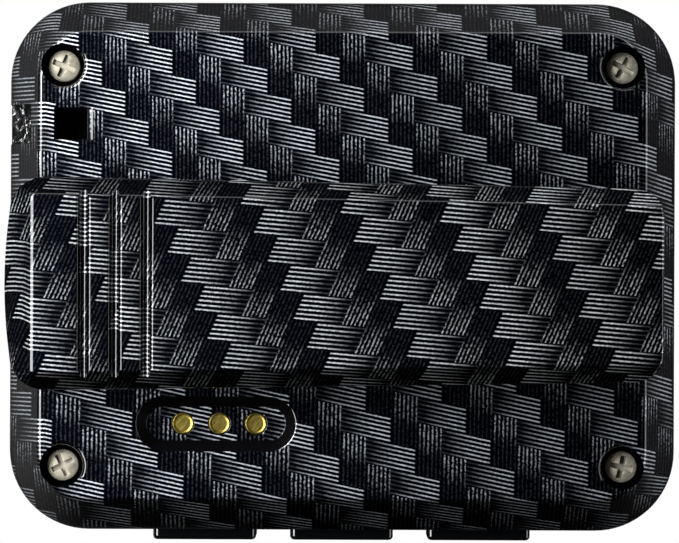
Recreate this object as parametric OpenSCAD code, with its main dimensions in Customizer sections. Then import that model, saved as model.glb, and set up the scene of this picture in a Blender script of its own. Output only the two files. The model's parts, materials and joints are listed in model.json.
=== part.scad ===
// Clip-on interval timer, lying on its display face with its back up.
// X runs along the clip, Y away from the buttons, Z out of the back. Millimetres.

/* [Case] */
// Width of the case, along the clip
body_w = 57; // [54:0.5:62]
// Height of the case, across the clip
body_h = 45.2; // [43:0.2:50]
// Plan radius of the case corners
corner_r = 6.8; // [6.2:0.1:8]
// Bevel of the edge round the back
back_bevel = 2.8; // [2:0.1:3.1]
// Rounding where that bevel meets the back
bevel_face_r = 0.6; // [0.3:0.1:1]
// Rounding where that bevel meets the sides
bevel_side_r = 1.4; // [0.6:0.1:1.8]
// Wall of the cover behind that bevel
bevel_wall = 1.05; // [0.9:0.05:1.2]
// Roll of the edge round the front
front_edge_r = 2; // [1:0.1:2.5]
// Side wall of both shells
wall = 1.6; // [1.2:0.1:2]
// Wall of the front shell
front_wall = 2; // [1.8:0.1:2.6]
// Wall of the back
back_wall = 1.6; // [1.2:0.1:2.2]

/* [Case screws] */
// Screw axis in from the left and right sides
screw_inset_x = 4.7; // [4.4:0.1:5.2]
// Screw axis in from the top and bottom sides
screw_inset_y = 5.6; // [5:0.1:6]
// Head diameter
screw_head_d = 2.65; // [2.4:0.05:3]
// Head height
screw_head_h = 0.9; // [0.7:0.05:1.1]
// Radius of the head's domed top
screw_dome_r = 3; // [2.4:0.1:5]
// How far the head lies below the back
screw_sink = 1.2; // [0.6:0.1:1.5]
// Shank diameter
screw_d = 1.9; // [1.6:0.1:2.2]
// Diameter of the counterbore
counterbore_d = 3.65; // [3.4:0.05:4]
// Diameter of the bosses that the screws go through
screw_boss_d = 6; // [5.6:0.1:6.4]

/* [Clip] */
// Left end of the clip in from the side of the case
clip_left_inset = 0.8; // [0.5:0.1:2]
// Right end of the clip in from the side of the case
clip_right_inset = 1.9; // [1:0.1:4]
// Clip centre line below the middle of the case
clip_drop = 1.5; // [0:0.1:3]
// Width at the thumb end
clip_left_w = 17.8; // [17:0.1:19]
// Width at the tip
clip_right_w = 16.1; // [15:0.1:17.5]
// Thickness of the arm
clip_t = 2.3; // [1.8:0.1:3]
// Plan radius of the thumb end's corners
clip_left_r = 3.2; // [2:0.1:4]
// Plan radius of the tip's corners
clip_right_r = 2.4; // [1:0.1:3.5]
// How far the thumb end bows out
clip_bulge = 0.4; // [0.1:0.1:0.5]
// Bevel of the clip's long edges
clip_edge_bevel = 1.5; // [0.8:0.1:1.6]
// Rounding of that bevel's corners
clip_edge_r = 0.4; // [0.2:0.05:0.6]
// Length of the bevel at the thumb end
clip_bevel = 2.4; // [1.5:0.1:3]
// Height of the upright rim under that bevel
clip_nose_h = 0.7; // [0.4:0.1:1.2]
// Number of thumb grooves
groove_count = 3; // [2:1:3]
// First groove in from the thumb end
groove_inset = 6.27; // [5:0.1:6.5]
// Spacing of the grooves
groove_pitch = 2.6; // [2:0.1:2.7]
// Groove width
groove_w = 0.7; // [0.5:0.02:0.8]
// Depth of a groove, with its round bottom
groove_depth = 0.5; // [0.3:0.05:0.7]
// Groove length
groove_l = 15.5; // [12:0.1:15.8]
// Jaw tooth in from the tip
tooth_inset = 4; // [3:0.1:5]
// Width of the tooth where it meets the arm
tooth_root = 3.6; // [3:0.1:4]
// Width of the tooth at its crest
tooth_crest = 1.6; // [1:0.1:2]
// Gap between the crest and the back
tooth_gap = 0.15; // [0.1:0.05:0.4]

/* [Clip hinge] */
// Hinge axis in from the left side of the case
hinge_inset = 14.5; // [13.5:0.1:15.5]
// Hinge axis above the back
hinge_lift = 2.4; // [2.2:0.1:3]
// Radius of the lugs on the back
lug_r = 1.7; // [1.5:0.05:1.8]
// Half the length of a lug's foot
lug_foot = 2.5; // [2:0.1:3]
// Gap between the two lugs
lug_span = 7.2; // [7:0.1:7.6]
// Thickness of a lug
lug_t = 2; // [1.6:0.1:2.2]
// Thickness of an ear on the clip
ear_t = 1.6; // [1.2:0.1:1.8]
// Half the length of an ear's root
ear_root = 2.6; // [2.2:0.1:3]
// Clearance between moving faces of the clip and the case
swing_gap = 0.3; // [0.2:0.05:0.5]
// Side play between ear and lug
ear_play = 0.2; // [0.1:0.05:0.3]
// Diameter of the hinge pin
pin_d = 1.6; // [1.4:0.05:1.8]
// Radial clearance of the pin in the lugs
pin_run = 0.05; // [0.02:0.01:0.08]
// Radial clearance of the pin in the ears
pin_fit = 0.02; // [0.01:0.01:0.04]
// Wire of the clip spring
spring_wire = 0.6; // [0.5:0.05:0.65]
// Mean diameter of the spring
spring_d = 3; // [2.9:0.05:3.1]
// Pitch of the spring
spring_pitch = 1.1; // [1.06:0.01:1.2]
// Whole turns of the spring
spring_turns = 4; // [3:1:4]
// Length of the spring's legs
spring_leg = 6; // [4:0.5:7]

/* [Buttons] */
// Spacing of the three buttons
button_pitch = 11.8; // [11.4:0.1:12.6]
// Width of a button
button_w = 8.86; // [8:0.02:9]
// Height of a button
button_h = 4; // [3.4:0.1:4.4]
// How far a button stands out of the side
button_proud = 0.95; // [0.7:0.05:1.2]
// Corner radius of a button
button_r = 0.5; // [0.3:0.1:1]
// Roll of a button's face edge
button_face_r = 0.35; // [0.2:0.05:0.45]
// Gap round a button in its opening
button_gap = 0.15; // [0.1:0.05:0.25]
// Thickness of the flange that holds a button in
flange_t = 0.8; // [0.6:0.1:1]
// How far the flange reaches past the button
flange_lip = 0.8; // [0.6:0.1:1]
// Gap between the flange and the wall
flange_gap = 0.1; // [0.05:0.05:0.2]
// Diameter of the nub behind a button
nub_d = 2; // [1.6:0.1:2.4]
// Length of that nub
nub_l = 0.7; // [0.5:0.1:1]
// Travel of a button
button_travel = 0.4; // [0.3:0.05:0.5]
// Width of a key switch
key_w = 4.6; // [4:0.1:5]
// Depth of a key switch
key_d = 3.2; // [2.8:0.1:3.4]
// Height of a key switch's plunger above the board
key_axis_h = 1.2; // [1.1:0.05:1.4]
// Width of a plunger
plunger_w = 1.8; // [1.4:0.1:2.2]
// Height of a plunger
plunger_h = 1.2; // [0.9:0.1:1.4]
// How far a plunger stands out of its switch
plunger_out = 0.8; // [0.7:0.05:1]
// How far a plunger reaches into its switch at rest
plunger_in = 0.4; // [0.3:0.1:0.6]
// Gap round a plunger
plunger_gap = 0.1; // [0.05:0.05:0.2]

/* [Lanyard eye] */
// Middle of the eye in from the left side
lanyard_inset_x = 5.38; // [5:0.1:6]
// Middle of the eye down from the top side
lanyard_inset_y = 10.55; // [10.3:0.1:11]
// Width of the square hole
eye_w = 2.8; // [2.4:0.1:3]
// Height of the square hole
eye_h = 2.75; // [2.4:0.05:3]
// Roll of the hole's right edge
eye_roll = 0.6; // [0.3:0.1:0.8]
// Width of the bar that the lanyard goes round
bar_w = 2.03; // [1.6:0.1:2.2]
// Height of the notch in the side
notch_h = 3.4; // [3:0.1:3.6]
// Room under the bar
lanyard_room = 2.4; // [2:0.1:2.6]
// Wall of the pocket under the eye
pocket_wall = 1; // [0.8:0.1:1.1]

/* [Charging dock] */
// Middle of the dock in from the left side
dock_inset_x = 17.8; // [17:0.1:19]
// Middle of the dock up from the button side
dock_inset_y = 9.2; // [9.2:0.1:10]
// Length of the dock at the back
dock_w = 13.6; // [13:0.1:14.5]
// Width of the dock at the back
dock_h = 4.66; // [4.6:0.02:5.4]
// Depth of the dock
dock_depth = 1; // [0.95:0.05:1.2]
// Bevel of the dock's edge
dock_bevel = 0.9; // [0.5:0.05:0.9]
// Rounding of that bevel's corners
dock_edge_r = 0.2; // [0.1:0.05:0.2]
// Wall round the dock inside the cover
dock_wall = 1; // [0.8:0.1:1.2]
// Thickness of the dock's floor
dock_floor = 2; // [1.6:0.1:2.4]
// Spacing of the contacts
contact_pitch = 3.1; // [2.8:0.05:3.2]
// Middle contact to the right of the dock's middle
contact_shift = 0.26; // [0:0.02:0.4]
// Diameter of a contact's face
contact_d = 1.8; // [1.6:0.05:2]
// Clearance round a contact
contact_gap = 0.05; // [0.03:0.01:0.1]
// How far a contact lies below the dock's floor
contact_sink = 0.15; // [0:0.05:0.3]
// Diameter of the shoulder under a contact
shoulder_d = 2.5; // [2.3:0.1:2.7]
// Height of that shoulder
shoulder_h = 0.6; // [0.4:0.1:0.8]
// Diameter of a contact's tail
tail_d = 0.9; // [0.7:0.1:1]
// Length of the block that the contacts stand in
carrier_l = 10.6; // [10:0.1:11]
// Width of that block
carrier_w = 3.2; // [3:0.1:3.4]
// Gap between that block and the contact shoulders
carrier_gap = 0.2; // [0.1:0.1:0.4]
// Diameter of a holding magnet
magnet_d = 3.4; // [3:0.1:3.6]
// Thickness of a magnet
magnet_t = 2; // [1.6:0.1:2.2]

/* [Display] */
// Glass in from the sides of the case
lcd_inset_x = 7; // [7:0.1:8]
// Glass in from the top and bottom of the case
lcd_inset_y = 8.1; // [8:0.1:9]
// Thickness of the glass
lcd_t = 1.8; // [1.5:0.1:2.2]
// Thickness of the backlight
backlight_t = 1.2; // [1:0.1:1.5]
// Width of the frame round the glass
lcd_frame_w = 1; // [0.8:0.1:1.1]
// Gap between that frame and the glass
lcd_gap = 0.1; // [0.05:0.05:0.2]
// Width of a contact strip
strip_w = 1.6; // [1.4:0.1:1.8]
// How far the window reaches past the glass, each side
window_lap = 1.5; // [1:0.1:1.6]
// How far the glass reaches past the aperture, each side
aperture_lap = 1; // [0.8:0.1:1.4]
// Thickness of the window
window_t = 0.8; // [0.6:0.1:0.9]
// How far the window lies below the front
window_sink = 0.25; // [0.1:0.05:0.3]
// Thickness of the adhesive behind the window
adhesive_t = 0.15; // [0.1:0.05:0.2]
// Corner radius of the window
window_r = 2; // [1:0.1:3]
// Gap round the window
window_gap = 0.1; // [0.05:0.05:0.2]

/* [Board] */
// Thickness of the board
board_t = 0.8; // [0.6:0.1:1]
// Gap between the board and the walls
board_gap = 0.5; // [0.3:0.1:0.7]
// Board posts in from the side walls
post_inset = 2; // [1.8:0.1:2.2]
// Diameter of the board posts
post_d = 3; // [2.6:0.1:3.2]
// Upper posts down from the top side
post_from_top = 18.1; // [17.5:0.1:19]
// Lower posts up from the button side
post_from_buttons = 13.6; // [12.6:0.1:14.6]
// Shank of a board screw
board_screw_d = 1.3; // [1.1:0.1:1.4]
// Length of a board screw under its head
board_screw_l = 3; // [2.4:0.1:3.2]
// Head of a board screw
board_head_d = 2.2; // [2:0.1:2.4]
// Height of a board screw's head
board_head_h = 0.7; // [0.5:0.1:0.9]
// Side of the controller
chip_w = 7; // [6:0.1:8]
// Thickness of the controller
chip_t = 1; // [0.8:0.1:1.2]
// Controller in from the left wall
chip_inset = 9.9; // [9:0.1:10.5]
// Length of the clock crystal
crystal_l = 3.2; // [2.5:0.1:3.6]
// Width of the clock crystal
crystal_w = 1.5; // [1.2:0.1:2]
// Spacing between the small pieces on the board
parts_gap = 1.6; // [1.2:0.1:2]
// Length of a small piece on the board
chip_part_l = 1.6; // [1:0.1:2]
// Width and height of a small piece on the board
chip_part_w = 0.8; // [0.5:0.1:1]

/* [Power and alarm] */
// Thickness of the cell
battery_t = 4; // [3.4:0.1:4.6]
// Roll of the cell's long edges
battery_r = 1; // [0.6:0.1:1.4]
// Room behind the cell
battery_room = 1.4; // [1.2:0.1:2]
// Cell down from the top wall
battery_inset = 3; // [2.4:0.1:4]
// Thickness of the tape under the cell
tape_t = 0.2; // [0.1:0.05:0.3]
// Tape in from the cell's edges
tape_inset = 2; // [1:0.5:4]
// Length of the leads
lead_l = 4.8; // [4:0.1:6]
// Diameter of a lead
lead_d = 1; // [0.8:0.1:1.2]
// Spacing of the two leads
lead_pitch = 1.8; // [1.4:0.1:2]
// Connector in from the left wall
connector_inset = 4.6; // [4.4:0.1:5]
// Depth of the connector
connector_d = 3.5; // [3:0.1:4]
// Width of the connector
connector_w = 5; // [4:0.1:5]
// Height of the connector
connector_h = 3; // [2.8:0.1:3.2]
// Gap between the connector and the lanyard pocket
connector_gap = 0.8; // [0.6:0.1:1.2]
// Depth of the row of pieces below the cell
row_h = 9; // [8.2:0.1:9.6]
// Gap between that row and its neighbours
row_gap = 0.8; // [0.6:0.1:1]
// Diameter of the motor
motor_d = 4; // [3.4:0.1:4.2]
// Length of the motor
motor_l = 8.5; // [7:0.1:9]
// Room between the motor's weight and the side wall
motor_inset = 6.7; // [6:0.1:7.5]
// Wall of the motor's rubber boot
boot_wall = 0.6; // [0.5:0.1:0.6]
// Clearance of the motor in its boot
boot_fit = 0.02; // [0.01:0.01:0.05]
// Diameter of the motor's shaft
shaft_d = 0.8; // [0.6:0.1:1]
// Radial clearance of the shaft
shaft_run = 0.05; // [0.02:0.01:0.08]
// How far the shaft reaches into the motor
shaft_in = 3; // [2:0.1:4]
// Radius of the weight
weight_r = 2.1; // [1.8:0.1:2.2]
// Length of the weight
weight_l = 3; // [2.5:0.1:3.4]
// Gap between the motor and the weight
weight_gap = 0.4; // [0.3:0.1:0.6]
// Diameter of the buzzer
buzzer_d = 8.5; // [8:0.1:9]
// Height of the buzzer
buzzer_h = 3.6; // [3:0.1:4.2]
// Buzzer in from the side wall
buzzer_inset = 7.9; // [7.6:0.1:8.4]
// Buzzer down from the top side
buzzer_from_top = 14.1; // [13:0.1:14.6]
// Sound hole of the buzzer
buzzer_hole_d = 1.6; // [1:0.1:2]
// Gap between the buzzer and the cell
buzzer_gap = 0.75; // [0.5:0.05:1]

/* [Hidden] */
$fn = 64;
// How far cuts run past a face, and how far joined shapes run into each other
over = 1;
root = 0.2;

film = "#1d2024";
nickel = "#b9b4a8";
steel = "#8d9094";
gold = "#b8963a";
black = "#0f1012";

// The case and its layers, counted from the front face
half_w = body_w / 2;
half_h = body_h / 2;
inner_w = body_w - 2 * wall;
inner_h = body_h - 2 * wall;
inner_r = corner_r - wall;
inner_bevel = max(0, back_bevel + bevel_wall * sqrt(2) - wall - back_wall);
backlight_z = front_wall + lcd_t;
board_z = backlight_z + backlight_t;
board_top = board_z + board_t;
split_z = board_top + key_axis_h;
battery_z = board_top + tape_t;
inner_top = battery_z + battery_t + battery_room;
body_t = inner_top + back_wall;

// Screws
screw_x = half_w - screw_inset_x;
screw_y = half_h - screw_inset_y;
screw_seat = body_t - screw_sink - screw_head_h;
screw_tip_h = 0.8;
screw_end = front_wall + screw_tip_h;
pilot_room = 0.3;
screw_clear = 0.15;
thread_fit = 0.03;
// Cross recess, as shares of a head's diameter and height, and how far each screw was turned
cross_l = 0.75;
cross_w = 0.17;
cross_depth = 0.55;
screw_turns = [26, 68, 76, 60];

// Clip and hinge
clip_x0 = -half_w + clip_left_inset;
clip_x1 = half_w - clip_right_inset;
hinge_x = -half_w + hinge_inset;
hinge_z = body_t + hinge_lift;
clip_under = hinge_z + lug_r + swing_gap;
clip_top = clip_under + clip_t;
clip_end = clip_x0 - clip_bulge;
ear_gap = swing_gap + 0.1;
ear_r = hinge_lift - ear_gap;
ear_in = lug_span / 2 + lug_t + ear_play;
ear_out = ear_in + ear_t;
taper = atan((clip_right_w - clip_left_w) / 2 / (clip_x1 - clip_x0));
tooth_x = clip_x1 - tooth_inset;

// Buttons and switches, from the outside in
button_face = -half_h - button_proud;
flange_out = -half_h + wall + flange_gap;
flange_in = flange_out + flange_t;
plunger_face = flange_in + nub_l;
key_face = plunger_face + plunger_out;
plunger_room = 0.3;

// Lanyard eye
eye_x = -half_w + lanyard_inset_x;
eye_y = half_h - lanyard_inset_y;
notch_x = eye_x - eye_w / 2 - bar_w;
pocket_floor = inner_top - lanyard_room;
pocket_h = max(eye_h, notch_h) + 2 * pocket_wall;

// Charging dock
dock_x = -half_w + dock_inset_x;
dock_y = -half_h + dock_inset_y;
dock_z = body_t - dock_depth;
dock_under = dock_z - dock_floor;
magnet_gap = 0.35;
magnet_x = dock_w / 2 + dock_wall + magnet_gap + magnet_d / 2;
contact_x = [for (i = [-1:1]) contact_shift + i * contact_pitch];

// Display
lcd_w = body_w - 2 * lcd_inset_x;
lcd_h = body_h - 2 * lcd_inset_y;
window_w = lcd_w + 2 * window_lap;
window_h = lcd_h + window_lap;
ledge_z = window_sink + window_t + adhesive_t;
aperture_w = lcd_w - 2 * aperture_lap;
aperture_h = lcd_h - 2 * aperture_lap;
strip_inset = 0.3;
strip_y = lcd_h / 2 - strip_inset - strip_w / 2;
strip_gap = 0.5;
strip_short = 3;
backlight_short = 1;
strip_l = lcd_w - strip_short;
backlight_w = lcd_w - backlight_short;
backlight_h = 2 * (strip_y - strip_w / 2 - strip_gap);

// Board
board_w = inner_w - 2 * board_gap;
board_y0 = flange_in + button_travel + board_gap;
board_y1 = inner_h / 2 - board_gap;
boss_clear = 0.3;
post_x = inner_w / 2 - post_inset;
post_rows = [post_from_buttons - half_h, half_h - post_from_top];
post_spots = [for (sx = [-1, 1], py = post_rows) [sx * post_x, py]];
post_hole_d = board_screw_d + 2 * thread_fit;
board_hole_d = board_screw_d + 2 * screw_clear;

// Row of pieces between the dock and the cell
row_y0 = dock_y + carrier_w / 2 + row_gap;
row_y = row_y0 + row_h / 2;
battery_y0 = row_y0 + row_h + row_gap;
battery_y1 = inner_h / 2 - battery_inset;
connector_x0 = -inner_w / 2 + connector_inset;
connector_y = eye_y - pocket_h / 2 - connector_gap - connector_w / 2;
battery_x0 = connector_x0 + connector_d + lead_l;
buzzer_x = inner_w / 2 - buzzer_inset;
buzzer_y = half_h - buzzer_from_top;
battery_x1 = buzzer_x - buzzer_d / 2 - buzzer_gap;
lead_z = battery_z + battery_t / 2;
chip_x = -inner_w / 2 + chip_inset;
crystal_x = chip_x + chip_w / 2 + parts_gap + crystal_l / 2;
small_x = crystal_x + crystal_l / 2 + parts_gap + chip_part_l / 2;
weight_x1 = inner_w / 2 - motor_inset;
weight_x0 = weight_x1 - weight_l;
motor_x1 = weight_x0 - weight_gap;
motor_x0 = motor_x1 - motor_l;
motor_z = board_top + boot_wall + motor_d / 2;
small_pitch = chip_part_l + parts_gap;
small_count = floor((motor_x0 - parts_gap - small_x) / small_pitch) + 1;

// Shared shapes

function arc(cx, cy, r, from, to, steps) =
    [for (i = [0:steps]) let (a = from + (to - from) * i / steps) [cx + r * cos(a), cy + r * sin(a)]];

function unit(v) = v / norm(v);

// Half section of a rolled edge: square but for its outer top corner
module edge_section(r, t, roll) {
    difference() {
        square([r, t]);
        if (roll > 0)
            translate([r - roll, t - roll]) corner_cut(roll);
    }
}

// What a roll of this radius takes off a corner at the origin's upper right
module corner_cut(roll) {
    difference() {
        square(roll + over);
        circle(roll);
    }
}

// What a bevel at 45 degrees takes off such a corner, rounded at its upper and outer ends
module bevel_cut(c, upper_r, outer_r) {
    upper = [-upper_r * tan(22.5), c - upper_r];
    outer = [c - outer_r, -outer_r * tan(22.5)];
    slant = [cos(45), sin(45)];
    difference() {
        translate([upper[0], outer[1]]) square([c + over - upper[0], c + over - outer[1]]);
        polygon([
            [upper[0] - over, outer[1] - over], [upper[0] - over, c], [upper[0], c],
            upper + upper_r * slant, outer + outer_r * slant, [c, outer[1]], [c, outer[1] - over]
        ]);
        translate(upper) circle(upper_r);
        translate(outer) circle(outer_r);
    }
}

// Half section of the cover's edge
module cover_section(r, t, bevel, upper_r, outer_r) {
    difference() {
        square([r, t]);
        if (bevel > 0)
            translate([r - bevel, t - bevel]) bevel_cut(bevel, upper_r, outer_r);
    }
}

// Slab with round plan corners and, if roll is given, a rolled edge round its top
module slab(w, h, r, t, roll = 0) {
    rim_slab(w, h, r, t) edge_section(r, t, roll);
}

// Slab with round plan corners and a bevelled edge round its top
module bevelled_slab(w, h, r, t, bevel, upper_r, outer_r) {
    rim_slab(w, h, r, t) cover_section(r, t, bevel, upper_r, outer_r);
}

// Slab with round plan corners whose rim has the child's half section
module rim_slab(w, h, r, t) {
    x = w / 2 - r;
    y = h / 2 - r;
    translate([-x, -y, 0]) cube([2 * x, 2 * y, t]);
    for (mx = [0, 1], my = [0, 1])
        mirror([mx, 0, 0]) mirror([0, my, 0])
            translate([x, y, 0]) rotate_extrude(angle = 90) children();
    for (m = [0, 1]) {
        mirror([m, 0, 0]) translate([x, y, 0]) rotate([90, 0, 0])
            linear_extrude(2 * y) children();
        mirror([0, m, 0]) translate([-x, y, 0]) rotate([90, 0, 90])
            linear_extrude(2 * x) children();
    }
}

// Bar with two round ends
module stadium(l, w, t) {
    x = (l - w) / 2;
    translate([-x, -w / 2, 0]) cube([2 * x, w, t]);
    for (m = [0, 1])
        mirror([m, 0, 0]) translate([x, 0, 0]) rotate([0, 0, -90])
            rotate_extrude(angle = 180) square([w / 2, t]);
}

// Block that stands on the origin's plane, centred in plan
module block(w, d, h) {
    translate([-w / 2, -d / 2, 0]) cube([w, d, h]);
}

screw_spots = [for (sx = [-1, 1], sy = [-1, 1]) [sx * screw_x, sy * screw_y]];

module at_screws() {
    for (i = [0:3])
        translate([screw_spots[i][0], screw_spots[i][1], 0]) rotate([0, 0, screw_turns[i]]) children();
}

module at_posts() {
    for (p = post_spots) translate([p[0], p[1], 0]) children();
}

module cross_recess(l, w, depth) {
    for (a = [0, 90]) rotate([0, 0, a]) translate([-l / 2, -w / 2, -depth]) cube([l, w, depth + over]);
}

// Openings for the three buttons, through the wall on the button side
module button_openings() {
    w = button_w + 2 * button_gap;
    h = button_h + 2 * button_gap;
    for (i = [-1:1])
        translate([i * button_pitch, -half_h + wall + over, split_z]) rotate([90, 0, 0])
            slab(w, h, button_r + button_gap, wall + 2 * over);
}

// Case

module front_housing() {
    color(film) difference() {
        union() {
            difference() {
                translate([0, 0, split_z]) mirror([0, 0, 1])
                    slab(body_w, body_h, corner_r, split_z, front_edge_r);
                translate([0, 0, front_wall]) slab(inner_w, inner_h, inner_r, split_z);
            }
            at_screws() translate([0, 0, front_wall - root])
                cylinder(d = screw_boss_d, h = split_z - front_wall + root);
            at_posts() translate([0, 0, front_wall - root])
                cylinder(d = post_d, h = board_z - front_wall + root);
        }
        translate([0, 0, -over])
            slab(window_w + 2 * window_gap, window_h + 2 * window_gap, window_r + window_gap, ledge_z + over);
        translate([0, 0, -over]) slab(aperture_w, aperture_h, window_r, front_wall + 2 * over);
        at_screws() translate([0, 0, screw_end - pilot_room])
            cylinder(d = screw_d + 2 * thread_fit, h = split_z);
        at_posts() translate([0, 0, board_top - board_screw_l - root])
            cylinder(d = post_hole_d, h = board_screw_l);
        button_openings();
    }
}

module rear_cover() {
    color(film) difference() {
        union() {
            difference() {
                translate([0, 0, split_z])
                    bevelled_slab(body_w, body_h, corner_r, body_t - split_z,
                        back_bevel, bevel_face_r, bevel_side_r);
                cover_room();
            }
            hinge_lugs();
        }
        at_screws() {
            translate([0, 0, screw_seat]) cylinder(d = counterbore_d, h = body_t);
            translate([0, 0, split_z - over]) cylinder(d = screw_d + 2 * screw_clear, h = body_t);
        }
        lanyard_cuts();
        dock_cuts();
        button_openings();
        translate([hinge_x, -clip_drop, hinge_z]) rotate([90, 0, 0])
            cylinder(d = pin_d + 2 * pin_run, h = lug_span + 2 * lug_t + 2 * over, center = true);
    }
}

// Room inside the cover, round its screw bosses, lanyard pocket and dock
module cover_room() {
    difference() {
        translate([0, 0, split_z - over])
            bevelled_slab(inner_w, inner_h, inner_r, inner_top - split_z + over,
                inner_bevel, inner_bevel / 2, inner_bevel / 2);
        at_screws() translate([0, 0, split_z]) cylinder(d = screw_boss_d, h = body_t);
        lanyard_pocket();
        translate([dock_x, dock_y, dock_under])
            stadium(dock_w + 2 * dock_wall, dock_h + 2 * dock_wall, body_t);
    }
}

// Closed pocket under the lanyard eye, grown from the side wall
module lanyard_pocket() {
    x1 = eye_x + eye_w / 2 + pocket_wall;
    x0 = -half_w;
    translate([x0, eye_y - pocket_h / 2, pocket_floor - pocket_wall])
        cube([x1 - x0, pocket_h, lanyard_room + pocket_wall + root]);
}

module lanyard_cuts() {
    eye_x1 = eye_x + eye_w / 2;
    translate([eye_x - eye_w / 2, eye_y - eye_h / 2, pocket_floor]) cube([eye_w, eye_h, body_t]);
    translate([-half_w - over, eye_y - eye_h / 2, pocket_floor])
        cube([eye_x1 + half_w + over, eye_h, lanyard_room]);
    translate([-half_w - over, eye_y - notch_h / 2, pocket_floor])
        cube([notch_x + half_w + over, notch_h, body_t]);
    translate([eye_x1 + eye_roll, eye_y + eye_h / 2, body_t - eye_roll]) rotate([90, 0, 0])
        linear_extrude(eye_h) mirror([1, 0]) corner_cut(eye_roll);
}

// Recess with a bevelled edge, and the three contact holes in its floor
module dock_cuts() {
    floor_l = dock_w - 2 * dock_bevel;
    floor_w = dock_h - 2 * dock_bevel;
    x = (dock_w - dock_h) / 2;
    translate([dock_x, dock_y, 0]) {
        translate([0, 0, dock_z]) stadium(floor_l, floor_w, dock_depth + over);
        for (m = [0, 1]) {
            mirror([m, 0, 0]) translate([x, 0, body_t - dock_bevel]) rotate([0, 0, -90])
                rotate_extrude(angle = 180) dock_edge_section();
            mirror([0, m, 0]) translate([-x, 0, body_t - dock_bevel]) rotate([90, 0, 90])
                linear_extrude(2 * x) dock_edge_section();
        }
        for (cx = contact_x) translate([cx, 0, dock_under - over])
            cylinder(d = contact_d + 2 * contact_gap, h = dock_floor + 2 * over);
    }
}

module dock_edge_section() {
    translate([dock_h / 2, 0]) mirror([1, 0]) bevel_cut(dock_bevel, dock_edge_r, dock_edge_r);
}

// Two lugs that carry the hinge pin
module hinge_lugs() {
    outline = concat(
        [[-lug_foot, body_t - root]],
        arc(0, hinge_z, lug_r, 170, 10, 16),
        [[lug_foot, body_t - root]]
    );
    for (s = [-1, 1])
        translate([hinge_x, -clip_drop + s * (lug_span + lug_t) / 2 + lug_t / 2, 0]) rotate([90, 0, 0])
            linear_extrude(lug_t) polygon(outline);
}

// Low head with a domed top, its seat on the origin's plane
module screw_head() {
    intersection() {
        cylinder(d = screw_head_d, h = screw_head_h);
        translate([0, 0, screw_head_h - screw_dome_r]) sphere(r = screw_dome_r);
    }
}

module case_screws() {
    color(nickel) at_screws() difference() {
        union() {
            translate([0, 0, screw_seat]) screw_head();
            translate([0, 0, screw_end]) cylinder(d = screw_d, h = screw_seat - screw_end + root);
        }
        translate([0, 0, screw_seat + screw_head_h])
            cross_recess(screw_head_d * cross_l, screw_head_d * cross_w, screw_head_h * cross_depth);
    }
}

// Clip

// Plan of the clip: tapered, with round corners and a bowed thumb end
function clip_plan() = concat(
    arc(clip_x1 - clip_right_r, clip_right_w / 2 - clip_right_r, clip_right_r, 0, 90, 12),
    arc(clip_x0 + clip_left_r, clip_left_w / 2 - clip_left_r, clip_left_r, 90, 165, 12),
    [for (i = [-8:8]) let (s = i / 10) [clip_end + clip_bulge * s * s, -s * (clip_left_w / 2 - clip_left_r)]],
    arc(clip_x0 + clip_left_r, clip_left_r - clip_left_w / 2, clip_left_r, 195, 270, 12),
    arc(clip_x1 - clip_right_r, clip_right_r - clip_right_w / 2, clip_right_r, 270, 360, 12)
);

// Side view of the clip: bevelled thumb end, flat arm and a jaw tooth near the tip
function clip_section() = [
    [clip_end - over, clip_under],
    [clip_end - over, clip_under + clip_nose_h - over * (clip_t - clip_nose_h) / clip_bevel],
    [clip_end + clip_bevel, clip_top],
    [clip_x1 + over, clip_top],
    [clip_x1 + over, clip_under],
    [tooth_x + tooth_root / 2, clip_under],
    [tooth_x + tooth_crest / 2, body_t + tooth_gap],
    [tooth_x - tooth_crest / 2, body_t + tooth_gap],
    [tooth_x - tooth_root / 2, clip_under]
];

module belt_clip() {
    color(film) translate([0, -clip_drop, 0]) difference() {
        union() {
            intersection() {
                translate([0, 0, body_t]) linear_extrude(clip_top) polygon(clip_plan());
                rotate([90, 0, 0]) linear_extrude(2 * clip_left_w, center = true) polygon(clip_section());
            }
            for (s = [0, 1]) mirror([0, s, 0]) clip_ear();
        }
        for (s = [0, 1]) mirror([0, s, 0]) long_edge_cut();
        for (i = [0:groove_count - 1])
            translate([clip_x0 + groove_inset + i * groove_pitch, 0, clip_top]) thumb_groove();
        translate([hinge_x, 0, hinge_z]) rotate([90, 0, 0])
            cylinder(d = pin_d + 2 * pin_fit, h = 2 * ear_out + 2 * over, center = true);
    }
}

// Straight groove with a round bottom, down from the clip's face
module thumb_groove() {
    bottom_r = groove_w / 2;
    translate([0, 0, bottom_r - groove_depth]) {
        block(groove_w, groove_l, groove_depth - bottom_r + over);
        rotate([90, 0, 0]) cylinder(r = bottom_r, h = groove_l, center = true);
    }
}

module clip_ear() {
    outline = concat(
        [[ear_root, clip_under + root]],
        arc(0, hinge_z, ear_r, -10, -170, 16),
        [[-ear_root, clip_under + root]]
    );
    translate([hinge_x, ear_out, 0]) rotate([90, 0, 0]) linear_extrude(ear_t) polygon(outline);
}

// Bevels one long edge of the clip, along its taper
module long_edge_cut() {
    reach = clip_x1 - clip_x0 + 6 * over;
    translate([clip_x0, clip_left_w / 2, clip_top]) rotate([0, 0, taper])
        translate([-3 * over, -clip_edge_bevel, -clip_edge_bevel]) rotate([90, 0, 90])
            linear_extrude(reach) bevel_cut(clip_edge_bevel, clip_edge_r, clip_edge_r);
}

module clip_pin() {
    color(steel) translate([hinge_x, -clip_drop, hinge_z]) rotate([90, 0, 0])
        cylinder(d = pin_d, h = 2 * ear_out, center = true);
}

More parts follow.
